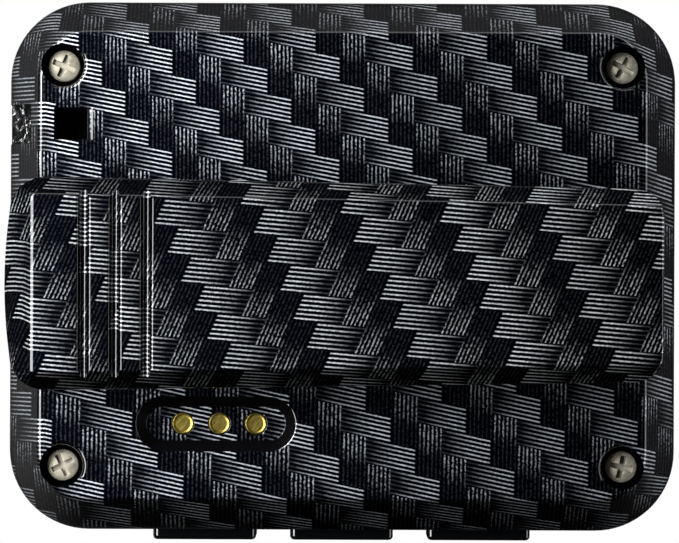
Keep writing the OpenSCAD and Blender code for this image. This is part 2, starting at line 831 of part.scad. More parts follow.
// Torsion spring: a lower leg on the back, the coil round the pin, an upper leg under the thumb end
spring_sides = 6;
spring_rings = 8;
leg_rest = 0.05;
spring_steps = spring_rings * spring_turns + spring_rings / 2;
coil_l = spring_pitch * spring_steps / spring_rings;

function coil_point(i) =
    let (a = 270 + 360 * i / spring_rings)
    [spring_d / 2 * cos(a), coil_l * (i / spring_steps - 0.5), spring_d / 2 * sin(a)];

lower_leg = [-spring_leg, -coil_l / 2, leg_rest + spring_wire / 2 - hinge_lift];
upper_leg = [-spring_leg, coil_l / 2, lug_r + swing_gap - leg_rest - spring_wire / 2];
spring_path = concat([lower_leg], [for (i = [0:spring_steps]) coil_point(i)], [upper_leg]);
spring_last = len(spring_path) - 1;

function spring_heading(i) = unit(spring_path[min(i + 1, spring_last)] - spring_path[max(i - 1, 0)]);

function spring_ring(i) =
    let (t = spring_heading(i), u = unit([0, 1, 0] - t[1] * t), v = cross(t, u))
    [for (k = [0:spring_sides - 1])
        let (a = 360 * k / spring_sides)
        spring_path[i] + spring_wire / 2 * (cos(a) * u + sin(a) * v)];

spring_gap = min([for (i = [0:spring_last], j = [i + spring_rings / 2:1:spring_last])
    norm(spring_path[i] - spring_path[j])]) - spring_wire;
echo(str("clip spring: least gap to itself ", spring_gap, " mm"));

module clip_spring() {
    n = spring_sides;
    points = [for (i = [0:spring_last]) each spring_ring(i)];
    sides = [for (i = [0:spring_last - 1], k = [0:n - 1])
        let (a = i * n + k, b = i * n + (k + 1) % n)
        each [[a, b, b + n], [a, b + n, a + n]]];
    z = spring_last * n;
    ends = [for (k = [1:n - 2]) each [[0, k + 1, k], [z, z + k, z + k + 1]]];
    color(steel) translate([hinge_x, -clip_drop, hinge_z])
        polyhedron(points = points, faces = [for (f = concat(sides, ends)) [f[0], f[2], f[1]]]);
}

// Buttons

module button_at(i) {
    color(black) translate([i * button_pitch, 0, split_z]) {
        translate([0, flange_out, 0]) rotate([90, 0, 0])
            slab(button_w, button_h, button_r, flange_out - button_face, button_face_r);
        translate([0, flange_in, 0]) rotate([90, 0, 0])
            slab(button_w + 2 * flange_lip, button_h + 2 * flange_lip, button_r, flange_t);
        translate([0, plunger_face, 0]) rotate([90, 0, 0]) cylinder(d = nub_d, h = nub_l);
    }
}

module plunger_at(i) {
    color("saddlebrown") translate([i * button_pitch, plunger_face, split_z - plunger_h / 2])
        translate([-plunger_w / 2, 0, 0]) cube([plunger_w, plunger_out + plunger_in, plunger_h]);
}

module up_button() { button_at(-1); }
module start_button() { button_at(0); }
module down_button() { button_at(1); }
module up_plunger() { plunger_at(-1); }
module start_plunger() { plunger_at(0); }
module down_plunger() { plunger_at(1); }

module key_switches() {
    slot_w = plunger_w + 2 * plunger_gap;
    slot_h = plunger_h + 2 * plunger_gap;
    slot_d = plunger_in + button_travel + plunger_room;
    color(steel) for (i = [-1:1]) translate([i * button_pitch, key_face, board_top]) difference() {
        translate([-key_w / 2, 0, 0]) cube([key_w, key_d, 2 * key_axis_h]);
        translate([-slot_w / 2, -over, key_axis_h - slot_h / 2]) cube([slot_w, slot_d + over, slot_h]);
    }
}

// Display

module display_window() {
    color("dimgray") translate([0, 0, window_sink]) slab(window_w, window_h, window_r, window_t);
}

module window_adhesive() {
    color(black) translate([0, 0, window_sink + window_t]) difference() {
        slab(window_w, window_h, window_r, adhesive_t);
        translate([0, 0, -over]) slab(aperture_w, aperture_h, window_r, adhesive_t + 2 * over);
    }
}

module lcd_panel() {
    color("darkseagreen") translate([0, 0, front_wall]) block(lcd_w, lcd_h, lcd_t);
}

module lcd_frame() {
    w = lcd_w + 2 * lcd_gap;
    h = lcd_h + 2 * lcd_gap;
    color(black) translate([0, 0, front_wall]) difference() {
        block(w + 2 * lcd_frame_w, h + 2 * lcd_frame_w, lcd_t + backlight_t);
        translate([0, 0, -over]) block(w, h, lcd_t + backlight_t + 2 * over);
        at_screws() translate([0, 0, -over])
            cylinder(d = screw_boss_d + 2 * lcd_gap, h = lcd_t + backlight_t + 2 * over);
    }
}

module contact_strips() {
    color("pink") for (s = [-1, 1])
        translate([0, s * strip_y, backlight_z]) block(strip_l, strip_w, backlight_t);
}

module backlight() {
    color("white") translate([0, 0, backlight_z]) block(backlight_w, backlight_h, backlight_t);
}

// Board

module main_board() {
    notch = screw_boss_d / 2 + boss_clear;
    color("darkgreen") difference() {
        translate([-board_w / 2, board_y0, board_z]) cube([board_w, board_y1 - board_y0, board_t]);
        for (mx = [0, 1], my = [0, 1])
            mirror([mx, 0, 0]) mirror([0, my, 0])
                translate([screw_x - notch, screw_y - notch, board_z - over])
                    cube([half_w, half_h, board_t + 2 * over]);
        at_posts() translate([0, 0, board_z - over]) cylinder(d = board_hole_d, h = board_t + 2 * over);
    }
}

module board_screws() {
    color(nickel) at_posts() difference() {
        union() {
            translate([0, 0, board_top]) cylinder(d = board_head_d, h = board_head_h);
            translate([0, 0, board_top - board_screw_l])
                cylinder(d = board_screw_d, h = board_screw_l + root);
        }
        translate([0, 0, board_top + board_head_h])
            cross_recess(board_head_d * cross_l, board_head_d * cross_w, board_head_h * cross_depth);
    }
}

module controller() {
    color(black) translate([chip_x, row_y, board_top]) block(chip_w, chip_w, chip_t);
}

module clock_crystal() {
    color("silver") translate([crystal_x, row_y, board_top]) block(crystal_l, crystal_w, chip_t);
}

module board_parts() {
    color("tan") for (i = [0:small_count - 1], s = [-1, 1])
        translate([small_x + i * small_pitch, row_y + s * parts_gap, board_top])
            block(chip_part_l, chip_part_w, chip_part_w);
}

// Power and alarm

module battery() {
    w = battery_y1 - battery_y0;
    color("silver") translate([battery_x0, (battery_y0 + battery_y1) / 2, battery_z + battery_t / 2])
        rotate([90, 0, 90]) slab(w, battery_t, battery_r, battery_x1 - battery_x0);
}

module battery_tape() {
    color("khaki") translate([battery_x0 + tape_inset, battery_y0 + tape_inset, board_top])
        cube([battery_x1 - battery_x0 - 2 * tape_inset, battery_y1 - battery_y0 - 2 * tape_inset, tape_t]);
}

module battery_leads() {
    color("firebrick") for (s = [-1, 1])
        translate([connector_x0 + connector_d, connector_y + s * lead_pitch / 2, lead_z]) rotate([0, 90, 0])
            cylinder(d = lead_d, h = lead_l);
}

module battery_connector() {
    color("ivory") translate([connector_x0 + connector_d / 2, connector_y, board_top])
        block(connector_d, connector_w, connector_h);
}

module vibration_motor() {
    color("silver") translate([motor_x0, row_y, motor_z]) rotate([0, 90, 0]) difference() {
        cylinder(d = motor_d, h = motor_l);
        translate([0, 0, motor_l - shaft_in - root])
            cylinder(d = shaft_d + 2 * shaft_run, h = shaft_in + over);
    }
}

// Shaft with its half-round weight, which turns as one piece
module motor_weight() {
    weight_flat = shaft_d / 4;
    color("dimgray") translate([motor_x1 - shaft_in, row_y, motor_z]) {
        rotate([0, 90, 0]) cylinder(d = shaft_d, h = shaft_in + weight_gap + weight_l);
        translate([shaft_in + weight_gap, 0, 0]) rotate([0, 90, 0]) difference() {
            cylinder(r = weight_r, h = weight_l);
            translate([-weight_r - over, weight_flat, -over])
                cube([2 * weight_r + 2 * over, weight_r + over, weight_l + 2 * over]);
        }
    }
}

module motor_boot() {
    boot_inset = 1;
    w = motor_d + 2 * boot_wall;
    color(black) translate([motor_x0 + boot_inset, row_y, board_top]) difference() {
        translate([0, -w / 2, 0]) cube([motor_l - 2 * boot_inset, w, w]);
        translate([-over, 0, motor_z - board_top]) rotate([0, 90, 0])
            cylinder(d = motor_d + 2 * boot_fit, h = motor_l + over);
    }
}

module buzzer() {
    color(black) translate([buzzer_x, buzzer_y, board_top]) difference() {
        cylinder(d = buzzer_d, h = buzzer_h);
        translate([0, 0, buzzer_h / 2]) cylinder(d = buzzer_hole_d, h = buzzer_h);
    }
}

// Charging dock

module charge_contacts() {
    shoulder_z = dock_under - shoulder_h;
    color(gold) for (cx = contact_x) translate([dock_x + cx, dock_y, 0]) {
        translate([0, 0, dock_under - root])
            cylinder(d = contact_d, h = dock_z - contact_sink - dock_under + root);
        translate([0, 0, shoulder_z]) cylinder(d = shoulder_d, h = shoulder_h);
        translate([0, 0, board_top]) cylinder(d = tail_d, h = shoulder_z - board_top + root);
    }
}

module contact_carrier() {
    h = dock_under - shoulder_h - carrier_gap - board_top;
    color(black) translate([dock_x, dock_y, board_top]) difference() {
        block(carrier_l, carrier_w, h);
        for (cx = contact_x) translate([cx, 0, -over])
            cylinder(d = tail_d + 2 * contact_gap, h = h + 2 * over);
    }
}

module dock_magnets() {
    color("silver") for (s = [-1, 1]) translate([dock_x + s * magnet_x, dock_y, inner_top - magnet_t])
        cylinder(d = magnet_d, h = magnet_t);
}

front_housing();
rear_cover();
case_screws();
belt_clip();
clip_pin();
clip_spring();
up_button();
start_button();
down_button();
up_plunger();
start_plunger();
down_plunger();
key_switches();
display_window();
window_adhesive();
lcd_panel();
lcd_frame();
contact_strips();
backlight();
main_board();
board_screws();
controller();
clock_crystal();
board_parts();
battery();
battery_tape();
battery_leads();
battery_connector();
vibration_motor();
motor_weight();
motor_boot();
buzzer();
charge_contacts();
contact_carrier();
dock_magnets();
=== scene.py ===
import json
import math

import bmesh
import bpy
from mathutils import Matrix, Vector


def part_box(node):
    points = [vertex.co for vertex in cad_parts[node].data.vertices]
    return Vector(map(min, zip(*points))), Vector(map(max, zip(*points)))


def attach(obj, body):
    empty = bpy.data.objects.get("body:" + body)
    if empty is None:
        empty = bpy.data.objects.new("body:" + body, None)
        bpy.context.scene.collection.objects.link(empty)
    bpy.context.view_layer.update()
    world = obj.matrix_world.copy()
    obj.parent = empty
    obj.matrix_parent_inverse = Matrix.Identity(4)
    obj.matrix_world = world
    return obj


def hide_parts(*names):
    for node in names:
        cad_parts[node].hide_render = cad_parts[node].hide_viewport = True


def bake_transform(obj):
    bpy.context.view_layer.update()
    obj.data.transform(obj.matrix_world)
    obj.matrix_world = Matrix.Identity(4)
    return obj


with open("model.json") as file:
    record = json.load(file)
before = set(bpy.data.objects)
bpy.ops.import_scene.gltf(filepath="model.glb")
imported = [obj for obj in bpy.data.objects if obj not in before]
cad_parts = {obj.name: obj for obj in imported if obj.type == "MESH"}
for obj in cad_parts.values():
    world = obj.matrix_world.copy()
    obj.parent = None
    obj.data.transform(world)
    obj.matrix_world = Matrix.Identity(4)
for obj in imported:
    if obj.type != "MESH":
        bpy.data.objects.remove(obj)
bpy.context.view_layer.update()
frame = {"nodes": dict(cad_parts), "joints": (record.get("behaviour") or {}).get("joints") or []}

scene = bpy.context.scene
nodes = frame["nodes"]
joints = {j["name"]: j for j in frame["joints"]}
mm = 0.001
imageSize = (679, 543)


# Sizes read from the frame, in metres

caseThick = 13.0 * mm
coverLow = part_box("rear_cover")[0]
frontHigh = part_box("front_housing")[1]
clipLow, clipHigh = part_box("belt_clip")
backZ = coverLow.z + caseThick - frontHigh.z    # the back plane; the hinge lugs stand above it
hinge = Vector(joints["clip_hinge"]["pos_m"])


# Camera: straight above the back, as the photograph was taken

photoView = {
    "centre": (-0.254 * mm, -0.424 * mm),       # the point of the back under the lens
    "height": 273.0 * mm,
    "roll": 0.22,                               # degrees
    "focalPixels": 3067.0,
    "sensor": 36.0,
}
cameraData = bpy.data.cameras.new("photoCamera")
cameraData.sensor_width = photoView["sensor"]
cameraData.lens = photoView["focalPixels"] * photoView["sensor"] / imageSize[0]
cameraData.clip_start = 0.01
cameraData.clip_end = 20.0
camera = bpy.data.objects.new("photoCamera", cameraData)
camera.location = (*photoView["centre"], photoView["height"])
camera.rotation_euler = (0, 0, math.radians(photoView["roll"]))
scene.collection.objects.link(camera)
scene.camera = camera
print("camera: lens", round(cameraData.lens, 1), "mm")


# Colours and nodes

def linear(hexColour):
    parts = [int(hexColour[i:i + 2], 16) / 255 for i in (1, 3, 5)]
    return (*[c / 12.92 if c <= 0.04045 else ((c + 0.055) / 1.055) ** 2.4 for c in parts], 1.0)


# Adds one node: its settings by name, its inputs from a value, a node or one of a node's outputs
def add(tree, kind, inputs=None, **settings):
    node = tree.nodes.new(kind)
    for name, value in settings.items():
        setattr(node, name, value)
    for socket, source in (inputs or {}).items():
        if isinstance(source, bpy.types.Node):
            source = source.outputs[0]
        if isinstance(source, bpy.types.NodeSocket):
            tree.links.new(source, node.inputs[socket])
        else:
            node.inputs[socket].default_value = source
    return node


def startMaterial(name):
    material = bpy.data.materials.new(name)
    material.use_nodes = True
    material.node_tree.nodes.clear()
    return material, material.node_tree


def finishMaterial(material, shader):
    add(material.node_tree, "ShaderNodeOutputMaterial", {"Surface": shader})
    return material


# Carbon-look twill film under gloss lacquer

filmLook = {
    "ink": "#020308",
    "silver": "#cbd0d8",
    "clipSilver": "#f8fbff",
    "clipPaintedShade": (-1.0, -19.5, 0.44, 1.0),     # painted shade, darker towards the thumb end: columns from and to, light there
    "stripes": 6.0,                 # filaments drawn across one yarn
    "edge": (0.28, 0.42),           # where a filament starts and is full, in its own widths
    "weftFade": (0.12, 0.68, 0.05, 1.0),    # from, to, light there
    "warpFade": (0.05, 0.62, 0.54, 0.03),
    "floatEnd": (0.985, 0.955),     # the cut end of a weft float
    "warpShift": 0.117,             # the warp's filaments against its columns, in yarns
    "stagger": 0.16,                # how unevenly filaments come up, in floats
    "wander": (0.05, 0.012),        # how far warp and weft filaments stray, in yarns
    "strayScale": 5.0,              # bends of a filament in one yarn's width
    "grainScale": 10.0,             # specks of the print's grain in one yarn's width
    "grainRange": (0.40, 0.60),     # grain that counts as dark and as bright
    "grain": (0.10, 1.35),          # light of the print's grain on the warp
    "weftGrain": (0.68, 1.14),
    "ragged": (0.42, 0.20),         # how far grain eats into the sides of warp and weft filaments
    "floatSpread": 0.32,            # how much the light of one float differs from another's
    "roughness": 0.48,
    "coatRoughness": 0.03,
    "coatIor": 1.6,
    "metal": 1.0,
}


# Water-transfer film printed with silver filaments on black, 2/2 twill, then clear lacquer: the
# filaments catch light like rough metal, and the lacquer gives sharp glints along every edge.
# The film's UV map counts yarns: columns along U, rows along V. Painted shade: its silver can be dimmed
# along the columns, so that one end of the film is darker: from, to, light there.
def twillFilm(name, hexSilver, paintedShade=(0.0, 1.0, 1.0, 1.0)):
    material, tree = startMaterial(name)
    film = add(tree, "ShaderNodeUVMap", uv_map="film")
    count = add(tree, "ShaderNodeSeparateXYZ", {"Vector": film})
    columns, rows = count.outputs["X"], count.outputs["Y"]
    column = add(tree, "ShaderNodeMath", {0: columns}, operation="FLOOR")
    row = add(tree, "ShaderNodeMath", {0: rows}, operation="FLOOR")
    across = add(tree, "ShaderNodeMath", {0: columns}, operation="FRACT")
    down = add(tree, "ShaderNodeMath", {0: rows}, operation="FRACT")
    # The twill repeats every four yarns: 0 and 1 show the warp, 2 and 3 the weft
    step = add(tree, "ShaderNodeMath", {0: row, 1: column}, operation="SUBTRACT")
    phase = add(tree, "ShaderNodeMath", {0: step, 1: 4.0}, operation="FLOORED_MODULO")
    isWeft = add(tree, "ShaderNodeMath", {0: phase, 1: 1.5}, operation="GREATER_THAN")
    # Filaments across the yarn that shows, the warp's straying more
    stray = add(tree, "ShaderNodeTexNoise", {"Vector": film, "Scale": filmLook["strayScale"],
                "Detail": 2.0})
    warpFar, weftFar = filmLook["wander"]
    far = add(tree, "ShaderNodeMix", {"Factor": isWeft, "A": warpFar, "B": weftFar}, data_type="FLOAT")
    centred = add(tree, "ShaderNodeMath", {0: stray, 1: 0.5}, operation="SUBTRACT")
    strayed = add(tree, "ShaderNodeMath", {0: centred, 1: far}, operation="MULTIPLY")
    warpSide = add(tree, "ShaderNodeMath", {0: columns, 1: filmLook["warpShift"]}, operation="ADD")
    side = add(tree, "ShaderNodeMix", {"Factor": isWeft, "A": warpSide, "B": rows}, data_type="FLOAT")
    sideStrayed = add(tree, "ShaderNodeMath", {0: side, 1: strayed}, operation="ADD")
    filament = add(tree, "ShaderNodeMath", {0: sideStrayed, 1: filmLook["stripes"]}, operation="MULTIPLY")
    wave = add(tree, "ShaderNodeMath", {0: filament, 1: 0.5}, operation="PINGPONG")
    grain = add(tree, "ShaderNodeTexNoise", {"Vector": film, "Scale": filmLook["grainScale"], "Detail": 2.0,
                "Roughness": 0.6})
    warpBite, weftBite = filmLook["ragged"]
    bite = add(tree, "ShaderNodeMix", {"Factor": isWeft, "A": warpBite, "B": weftBite}, data_type="FLOAT")
    speck = add(tree, "ShaderNodeMath", {0: grain, 1: 0.5}, operation="SUBTRACT")
    bitten = add(tree, "ShaderNodeMath", {0: speck, 1: bite, 2: wave}, operation="MULTIPLY_ADD")
    stripe = add(tree, "ShaderNodeMapRange", {"Value": bitten, "From Min": filmLook["edge"][0],
                 "From Max": filmLook["edge"][1]}, interpolation_type="SMOOTHSTEP")
    # Place along a float, 0 to 1 over its two yarns, a little different for each filament
    which = add(tree, "ShaderNodeMath", {0: filament}, operation="FLOOR")
    weftPart = add(tree, "ShaderNodeMath", {0: 3.0, 1: phase}, operation="SUBTRACT")
    floatStart = add(tree, "ShaderNodeMath", {0: column, 1: weftPart}, operation="SUBTRACT")
    seed = add(tree, "ShaderNodeCombineXYZ", {"X": which, "Y": floatStart, "Z": isWeft})
    uneven = add(tree, "ShaderNodeTexWhiteNoise", {"Vector": seed})
    late = add(tree, "ShaderNodeMath", {0: uneven, 1: filmLook["stagger"], 2: -filmLook["stagger"] / 2},
               operation="MULTIPLY_ADD")
    weftSum = add(tree, "ShaderNodeMath", {0: across, 1: weftPart}, operation="ADD")
    weftPlace = add(tree, "ShaderNodeMath", {0: weftSum, 1: 0.5}, operation="MULTIPLY")
    weftLate = add(tree, "ShaderNodeMath", {0: weftPlace, 1: late}, operation="ADD")
    warpSum = add(tree, "ShaderNodeMath", {0: down, 1: phase}, operation="ADD")
    warpPlace = add(tree, "ShaderNodeMath", {0: warpSum, 1: 0.5}, operation="MULTIPLY")
    warpLate = add(tree, "ShaderNodeMath", {0: warpPlace, 1: late}, operation="ADD")
    low, high, dark, bright = filmLook["weftFade"]
    weftRise = add(tree, "ShaderNodeMapRange", {"Value": weftLate, "From Min": low, "From Max": high,
                   "To Min": dark, "To Max": bright})
    weftCut = add(tree, "ShaderNodeMapRange", {"Value": weftPlace, "From Min": filmLook["floatEnd"][0],
                  "From Max": filmLook["floatEnd"][1]})
    weftLight = add(tree, "ShaderNodeMath", {0: weftRise, 1: weftCut}, operation="MULTIPLY")
    low, high, bright, dark = filmLook["warpFade"]
    warpLight = add(tree, "ShaderNodeMapRange", {"Value": warpLate, "From Min": low, "From Max": high,
                    "To Min": bright, "To Max": dark}, interpolation_type="SMOOTHSTEP")
    light = add(tree, "ShaderNodeMix", {"Factor": isWeft, "A": warpLight, "B": weftLight},
                data_type="FLOAT")
    # Print grain, stronger on the warp, and floats of unequal light
    low, high = filmLook["grainRange"]
    warpGrain = add(tree, "ShaderNodeMapRange", {"Value": grain, "From Min": low, "From Max": high,
                    "To Min": filmLook["grain"][0], "To Max": filmLook["grain"][1]})
    weftGrain = add(tree, "ShaderNodeMapRange", {"Value": grain, "From Min": low, "From Max": high,
                    "To Min": filmLook["weftGrain"][0], "To Max": filmLook["weftGrain"][1]})
    grainLight = add(tree, "ShaderNodeMix", {"Factor": isWeft, "A": warpGrain, "B": weftGrain},
                     data_type="FLOAT")
    warpStart = add(tree, "ShaderNodeMath", {0: row, 1: phase}, operation="SUBTRACT")
    weftSeed = add(tree, "ShaderNodeCombineXYZ", {"X": floatStart, "Y": row, "Z": 1.0})
    warpSeed = add(tree, "ShaderNodeCombineXYZ", {"X": column, "Y": warpStart})
    floatSeed = add(tree, "ShaderNodeMix", {"Factor": isWeft, 4: warpSeed, 5: weftSeed}, data_type="VECTOR")
    chance = add(tree, "ShaderNodeTexWhiteNoise", {"Vector": floatSeed.outputs[1]})
    floatLight = add(tree, "ShaderNodeMath", {0: chance, 1: filmLook["floatSpread"],
                     2: 1.0 - filmLook["floatSpread"] / 2}, operation="MULTIPLY_ADD")
    start, end, first, last = paintedShade
    # Painted shade: the silver is scaled along the columns, darker at one end of the film
    paintedShadeScale = add(tree, "ShaderNodeMapRange", {"Value": columns, "From Min": start, "From Max": end,
                     "To Min": first, "To Max": last})
    silver = add(tree, "ShaderNodeMath", {0: light, 1: paintedShadeScale}, operation="MULTIPLY")
    lit = add(tree, "ShaderNodeMath", {0: stripe, 1: silver}, operation="MULTIPLY")
    grained = add(tree, "ShaderNodeMath", {0: lit, 1: grainLight}, operation="MULTIPLY")
    printed = add(tree, "ShaderNodeMath", {0: grained, 1: floatLight}, operation="MULTIPLY", use_clamp=True)
    colour = add(tree, "ShaderNodeMix", {"Factor": printed, 6: linear(filmLook["ink"]),
                 7: linear(hexSilver)}, data_type="RGBA")
    shader = add(tree, "ShaderNodeBsdfPrincipled", {
        "Base Color": colour.outputs[2], "Metallic": filmLook["metal"], "Roughness": filmLook["roughness"],
        "Specular IOR Level": 0.0, "Coat Weight": 1.0, "Coat IOR": filmLook["coatIor"],
        "Coat Roughness": filmLook["coatRoughness"]})
    return finishMaterial(material, shader)


# Moulded ABS: fine spark-eroded grain gives a satin sheen, polished it is a deep gloss
def mouldedAbs(name, hexColour, roughness, grainMm, coat=0.0, sheen=0.5):
    material, tree = startMaterial(name)
    place = add(tree, "ShaderNodeTexCoord").outputs["Object"]
    grain = add(tree, "ShaderNodeTexNoise", {"Vector": place, "Scale": 1.0 / (grainMm * mm), "Detail": 3.0})
    rough = add(tree, "ShaderNodeMapRange", {"Value": grain, "To Min": roughness * 0.8,
                "To Max": roughness * 1.2})
    bump = add(tree, "ShaderNodeBump", {"Height": grain, "Strength": 0.05, "Distance": 0.02 * mm})
    shader = add(tree, "ShaderNodeBsdfPrincipled", {
        "Base Color": linear(hexColour), "Roughness": rough.outputs[0], "Normal": bump,
        "Specular IOR Level": sheen, "Coat Weight": coat, "Coat Roughness": 0.04})
    return finishMaterial(material, shader)


# Plated metal: turned or stamped, with fine scratches along one way
def platedMetal(name, hexLight, hexDark, roughness, scratchMm, angle):
    material, tree = startMaterial(name)
    place = add(tree, "ShaderNodeTexCoord").outputs["Object"]
    turned = add(tree, "ShaderNodeMapping", {"Vector": place, "Rotation": (0, 0, math.radians(angle)),
                 "Scale": (12.0, 1.0, 1.0)}, vector_type="TEXTURE")
    scratch = add(tree, "ShaderNodeTexNoise", {"Vector": turned, "Scale": 1.0 / (scratchMm * mm),
                  "Detail": 4.0, "Roughness": 0.65})
    worn = add(tree, "ShaderNodeMapRange", {"Value": scratch, "From Min": 0.35, "From Max": 0.65})
    colour = add(tree, "ShaderNodeMix", {"Factor": worn, 6: linear(hexDark), 7: linear(hexLight)},
                 data_type="RGBA")
    rough = add(tree, "ShaderNodeMapRange", {"Value": scratch, "To Min": roughness * 0.7,
                "To Max": roughness * 1.3})
    bump = add(tree, "ShaderNodeBump", {"Height": scratch, "Strength": 0.25, "Distance": 0.01 * mm})
    shader = add(tree, "ShaderNodeBsdfPrincipled", {
        "Base Color": colour.outputs[2], "Metallic": 1.0, "Roughness": rough.outputs[0], "Normal": bump})
    return finishMaterial(material, shader)


# Matt stuff such as rubber, foam, laminate or epoxy, with a mottle of the real grain size
def mottled(name, hexLow, hexHigh, roughness, grainMm):
    material, tree = startMaterial(name)
    place = add(tree, "ShaderNodeTexCoord").outputs["Object"]
    grain = add(tree, "ShaderNodeTexNoise", {"Vector": place, "Scale": 1.0 / (grainMm * mm), "Detail": 3.0})
    colour = add(tree, "ShaderNodeMix", {"Factor": grain, 6: linear(hexLow), 7: linear(hexHigh)},
                 data_type="RGBA")
    rough = add(tree, "ShaderNodeMapRange", {"Value": grain, "To Min": roughness * 0.85,
                "To Max": roughness * 1.15})
    shader = add(tree, "ShaderNodeBsdfPrincipled", {
        "Base Color": colour.outputs[2], "Roughness": rough.outputs[0]})
    return finishMaterial(material, shader)


# Clear acrylic with a black border screen-printed on its back, which frames the display
def printedWindow(name, hexTint, tint, hexBorder, openHalf):
    material, tree = startMaterial(name)
    place = add(tree, "ShaderNodeTexCoord").outputs["Object"]
    spot = add(tree, "ShaderNodeSeparateXYZ", {"Vector": place})
    beyond = 0.0
    for axis, half in zip("XY", openHalf):
        away = add(tree, "ShaderNodeMath", {0: spot.outputs[axis]}, operation="ABSOLUTE")
        past = add(tree, "ShaderNodeMath", {0: away, 1: half}, operation="GREATER_THAN")
        beyond = add(tree, "ShaderNodeMath", {0: beyond, 1: past}, operation="MAXIMUM")
    colour = add(tree, "ShaderNodeMix", {"Factor": beyond, 6: linear(hexTint), 7: linear(hexBorder)},
                 data_type="RGBA")
    cover = add(tree, "ShaderNodeMix", {"Factor": beyond, "A": tint, "B": 1.0}, data_type="FLOAT")
    shader = add(tree, "ShaderNodeBsdfPrincipled", {
        "Base Color": colour.outputs[2], "Roughness": 0.06, "IOR": 1.49, "Alpha": cover})
    return finishMaterial(material, shader)


# Two materials in turn along one axis, as in a zebra strip or on a wrapped cell
def banded(name, hexLow, hexHigh, roughness, bandMm, axis="X"):
    material, tree = startMaterial(name)
    place = add(tree, "ShaderNodeTexCoord").outputs["Object"]
    along = add(tree, "ShaderNodeSeparateXYZ", {"Vector": place}).outputs[axis]
    count = add(tree, "ShaderNodeMath", {0: along, 1: 1.0 / (bandMm * mm)}, operation="MULTIPLY")
    wave = add(tree, "ShaderNodeMath", {0: count, 1: 0.5}, operation="PINGPONG")
    turn = add(tree, "ShaderNodeMapRange", {"Value": wave, "From Min": 0.2, "From Max": 0.3})
    colour = add(tree, "ShaderNodeMix", {"Factor": turn, 6: linear(hexLow), 7: linear(hexHigh)},
                 data_type="RGBA")
    grain = add(tree, "ShaderNodeTexNoise", {"Vector": place, "Scale": 4.0 / (bandMm * mm), "Detail": 2.0})
    rough = add(tree, "ShaderNodeMapRange", {"Value": grain, "To Min": roughness * 0.85,
                "To Max": roughness * 1.15})
    shader = add(tree, "ShaderNodeBsdfPrincipled", {
        "Base Color": colour.outputs[2], "Roughness": rough.outputs[0]})
    return finishMaterial(material, shader)


# Lacquer that ran together and wrinkled in a deep corner: glossy, with small uneven swells
def wrinkledLacquer(name, hexColour, swellMm, height):
    material, tree = startMaterial(name)
    place = add(tree, "ShaderNodeTexCoord").outputs["Object"]
    swell = add(tree, "ShaderNodeTexNoise", {"Vector": place, "Scale": 1.0 / (swellMm * mm), "Detail": 2.0,
                "Distortion": 0.6})
    bump = add(tree, "ShaderNodeBump", {"Height": swell, "Strength": 1.0, "Distance": height * mm})
    shader = add(tree, "ShaderNodeBsdfPrincipled", {
        "Base Color": linear(hexColour), "Roughness": 0.22, "Normal": bump, "Coat Weight": 0.4,
        "Coat Roughness": 0.10, "Coat Normal": bump})
    return finishMaterial(material, shader)


twill = twillFilm("carbon twill film, lacquered", filmLook["silver"])
# The clip's film has painted shade: its silver dims towards the thumb end, so it looks evenly lit under the
# lamps on the left
clipTwill = twillFilm("carbon twill film, pulled over the clip", filmLook["clipSilver"],
                      filmLook["clipPaintedShade"])
puddledLacquer = wrinkledLacquer("clear lacquer, run together", "#040506", 0.6, 0.11)
recessBlack = mouldedAbs("gloss lacquered ABS, recess walls", "#030406", 0.12, 0.4, coat=1.0)
wallBlack = mouldedAbs("satin black lacquer, dock wall", "#020203", 0.55, 0.4, sheen=0.05)
innerAbs = mouldedAbs("moulded ABS, inside", "#0b0c0e", 0.5, 0.25)
buttonAbs = mouldedAbs("polished ABS, buttons", "#060709", 0.16, 0.5, coat=1.0)
nickel = platedMetal("nickel plated steel, screws", "#bfbbae", "#9a9484", 0.7, 0.12, 35)
# Painted shade: a far darker nickel for the steep walls of the screws' cross recess
recessShadeNickel = platedMetal("nickel plated steel, painted shade in the cross recess", "#2e2b24", "#15130f", 0.45, 0.12, 35)
pinSteel = platedMetal("ground steel, pin", "#c8cbd0", "#8d9197", 0.28, 0.15, 0)
springSteel = platedMetal("drawn spring steel", "#a9abae", "#6d7074", 0.32, 0.12, 0)
gold = platedMetal("gold plated brass, contacts", "#c4b05e", "#7c6a28", 0.36, 0.10, 48)
windowLook = {"openHalf": (19.6 * mm, 12.2 * mm), "tint": 0.14}
windowAcrylic = printedWindow("clear acrylic, printed border", "#15181a", windowLook["tint"], "#040405",
                              windowLook["openHalf"])
displayGlass = mottled("reflective twisted-nematic glass, display", "#7d8872", "#88937c", 0.30, 0.6)
displayInk = mottled("liquid crystal, dark segments", "#0d110f", "#161b17", 0.35, 0.5)
plungerNylon = mouldedAbs("moulded nylon, plungers", "#4a2b18", 0.42, 0.2)
switchSteel = platedMetal("stamped tinned steel, switch covers", "#c6c8ca", "#8b8e92", 0.36, 0.08, 0)
foamTape = mottled("acrylic foam tape, black", "#0b0b0c", "#19191b", 0.85, 0.12)
framePolycarbonate = mouldedAbs("moulded polycarbonate, display frame", "#121315", 0.48, 0.25)
zebraRubber = banded("layered conductive silicone, contact strips", "#1a1a1c", "#c9b8b4", 0.7, 0.18)
lightGuide = mottled("diffuse acrylic, backlight", "#dfe3e2", "#eef1ef", 0.4, 0.3)
boardLaminate = mottled("glass-epoxy laminate, green solder mask", "#0c3a22", "#14512f", 0.38, 0.35)
chipEpoxy = mottled("moulded epoxy, chip", "#121214", "#1e1e21", 0.6, 0.1)
canSteel = platedMetal("drawn steel can", "#cfd1d3", "#93979b", 0.3, 0.12, 90)
ceramic = mottled("fired ceramic, chip parts", "#5d4a36", "#7c6549", 0.55, 0.15)
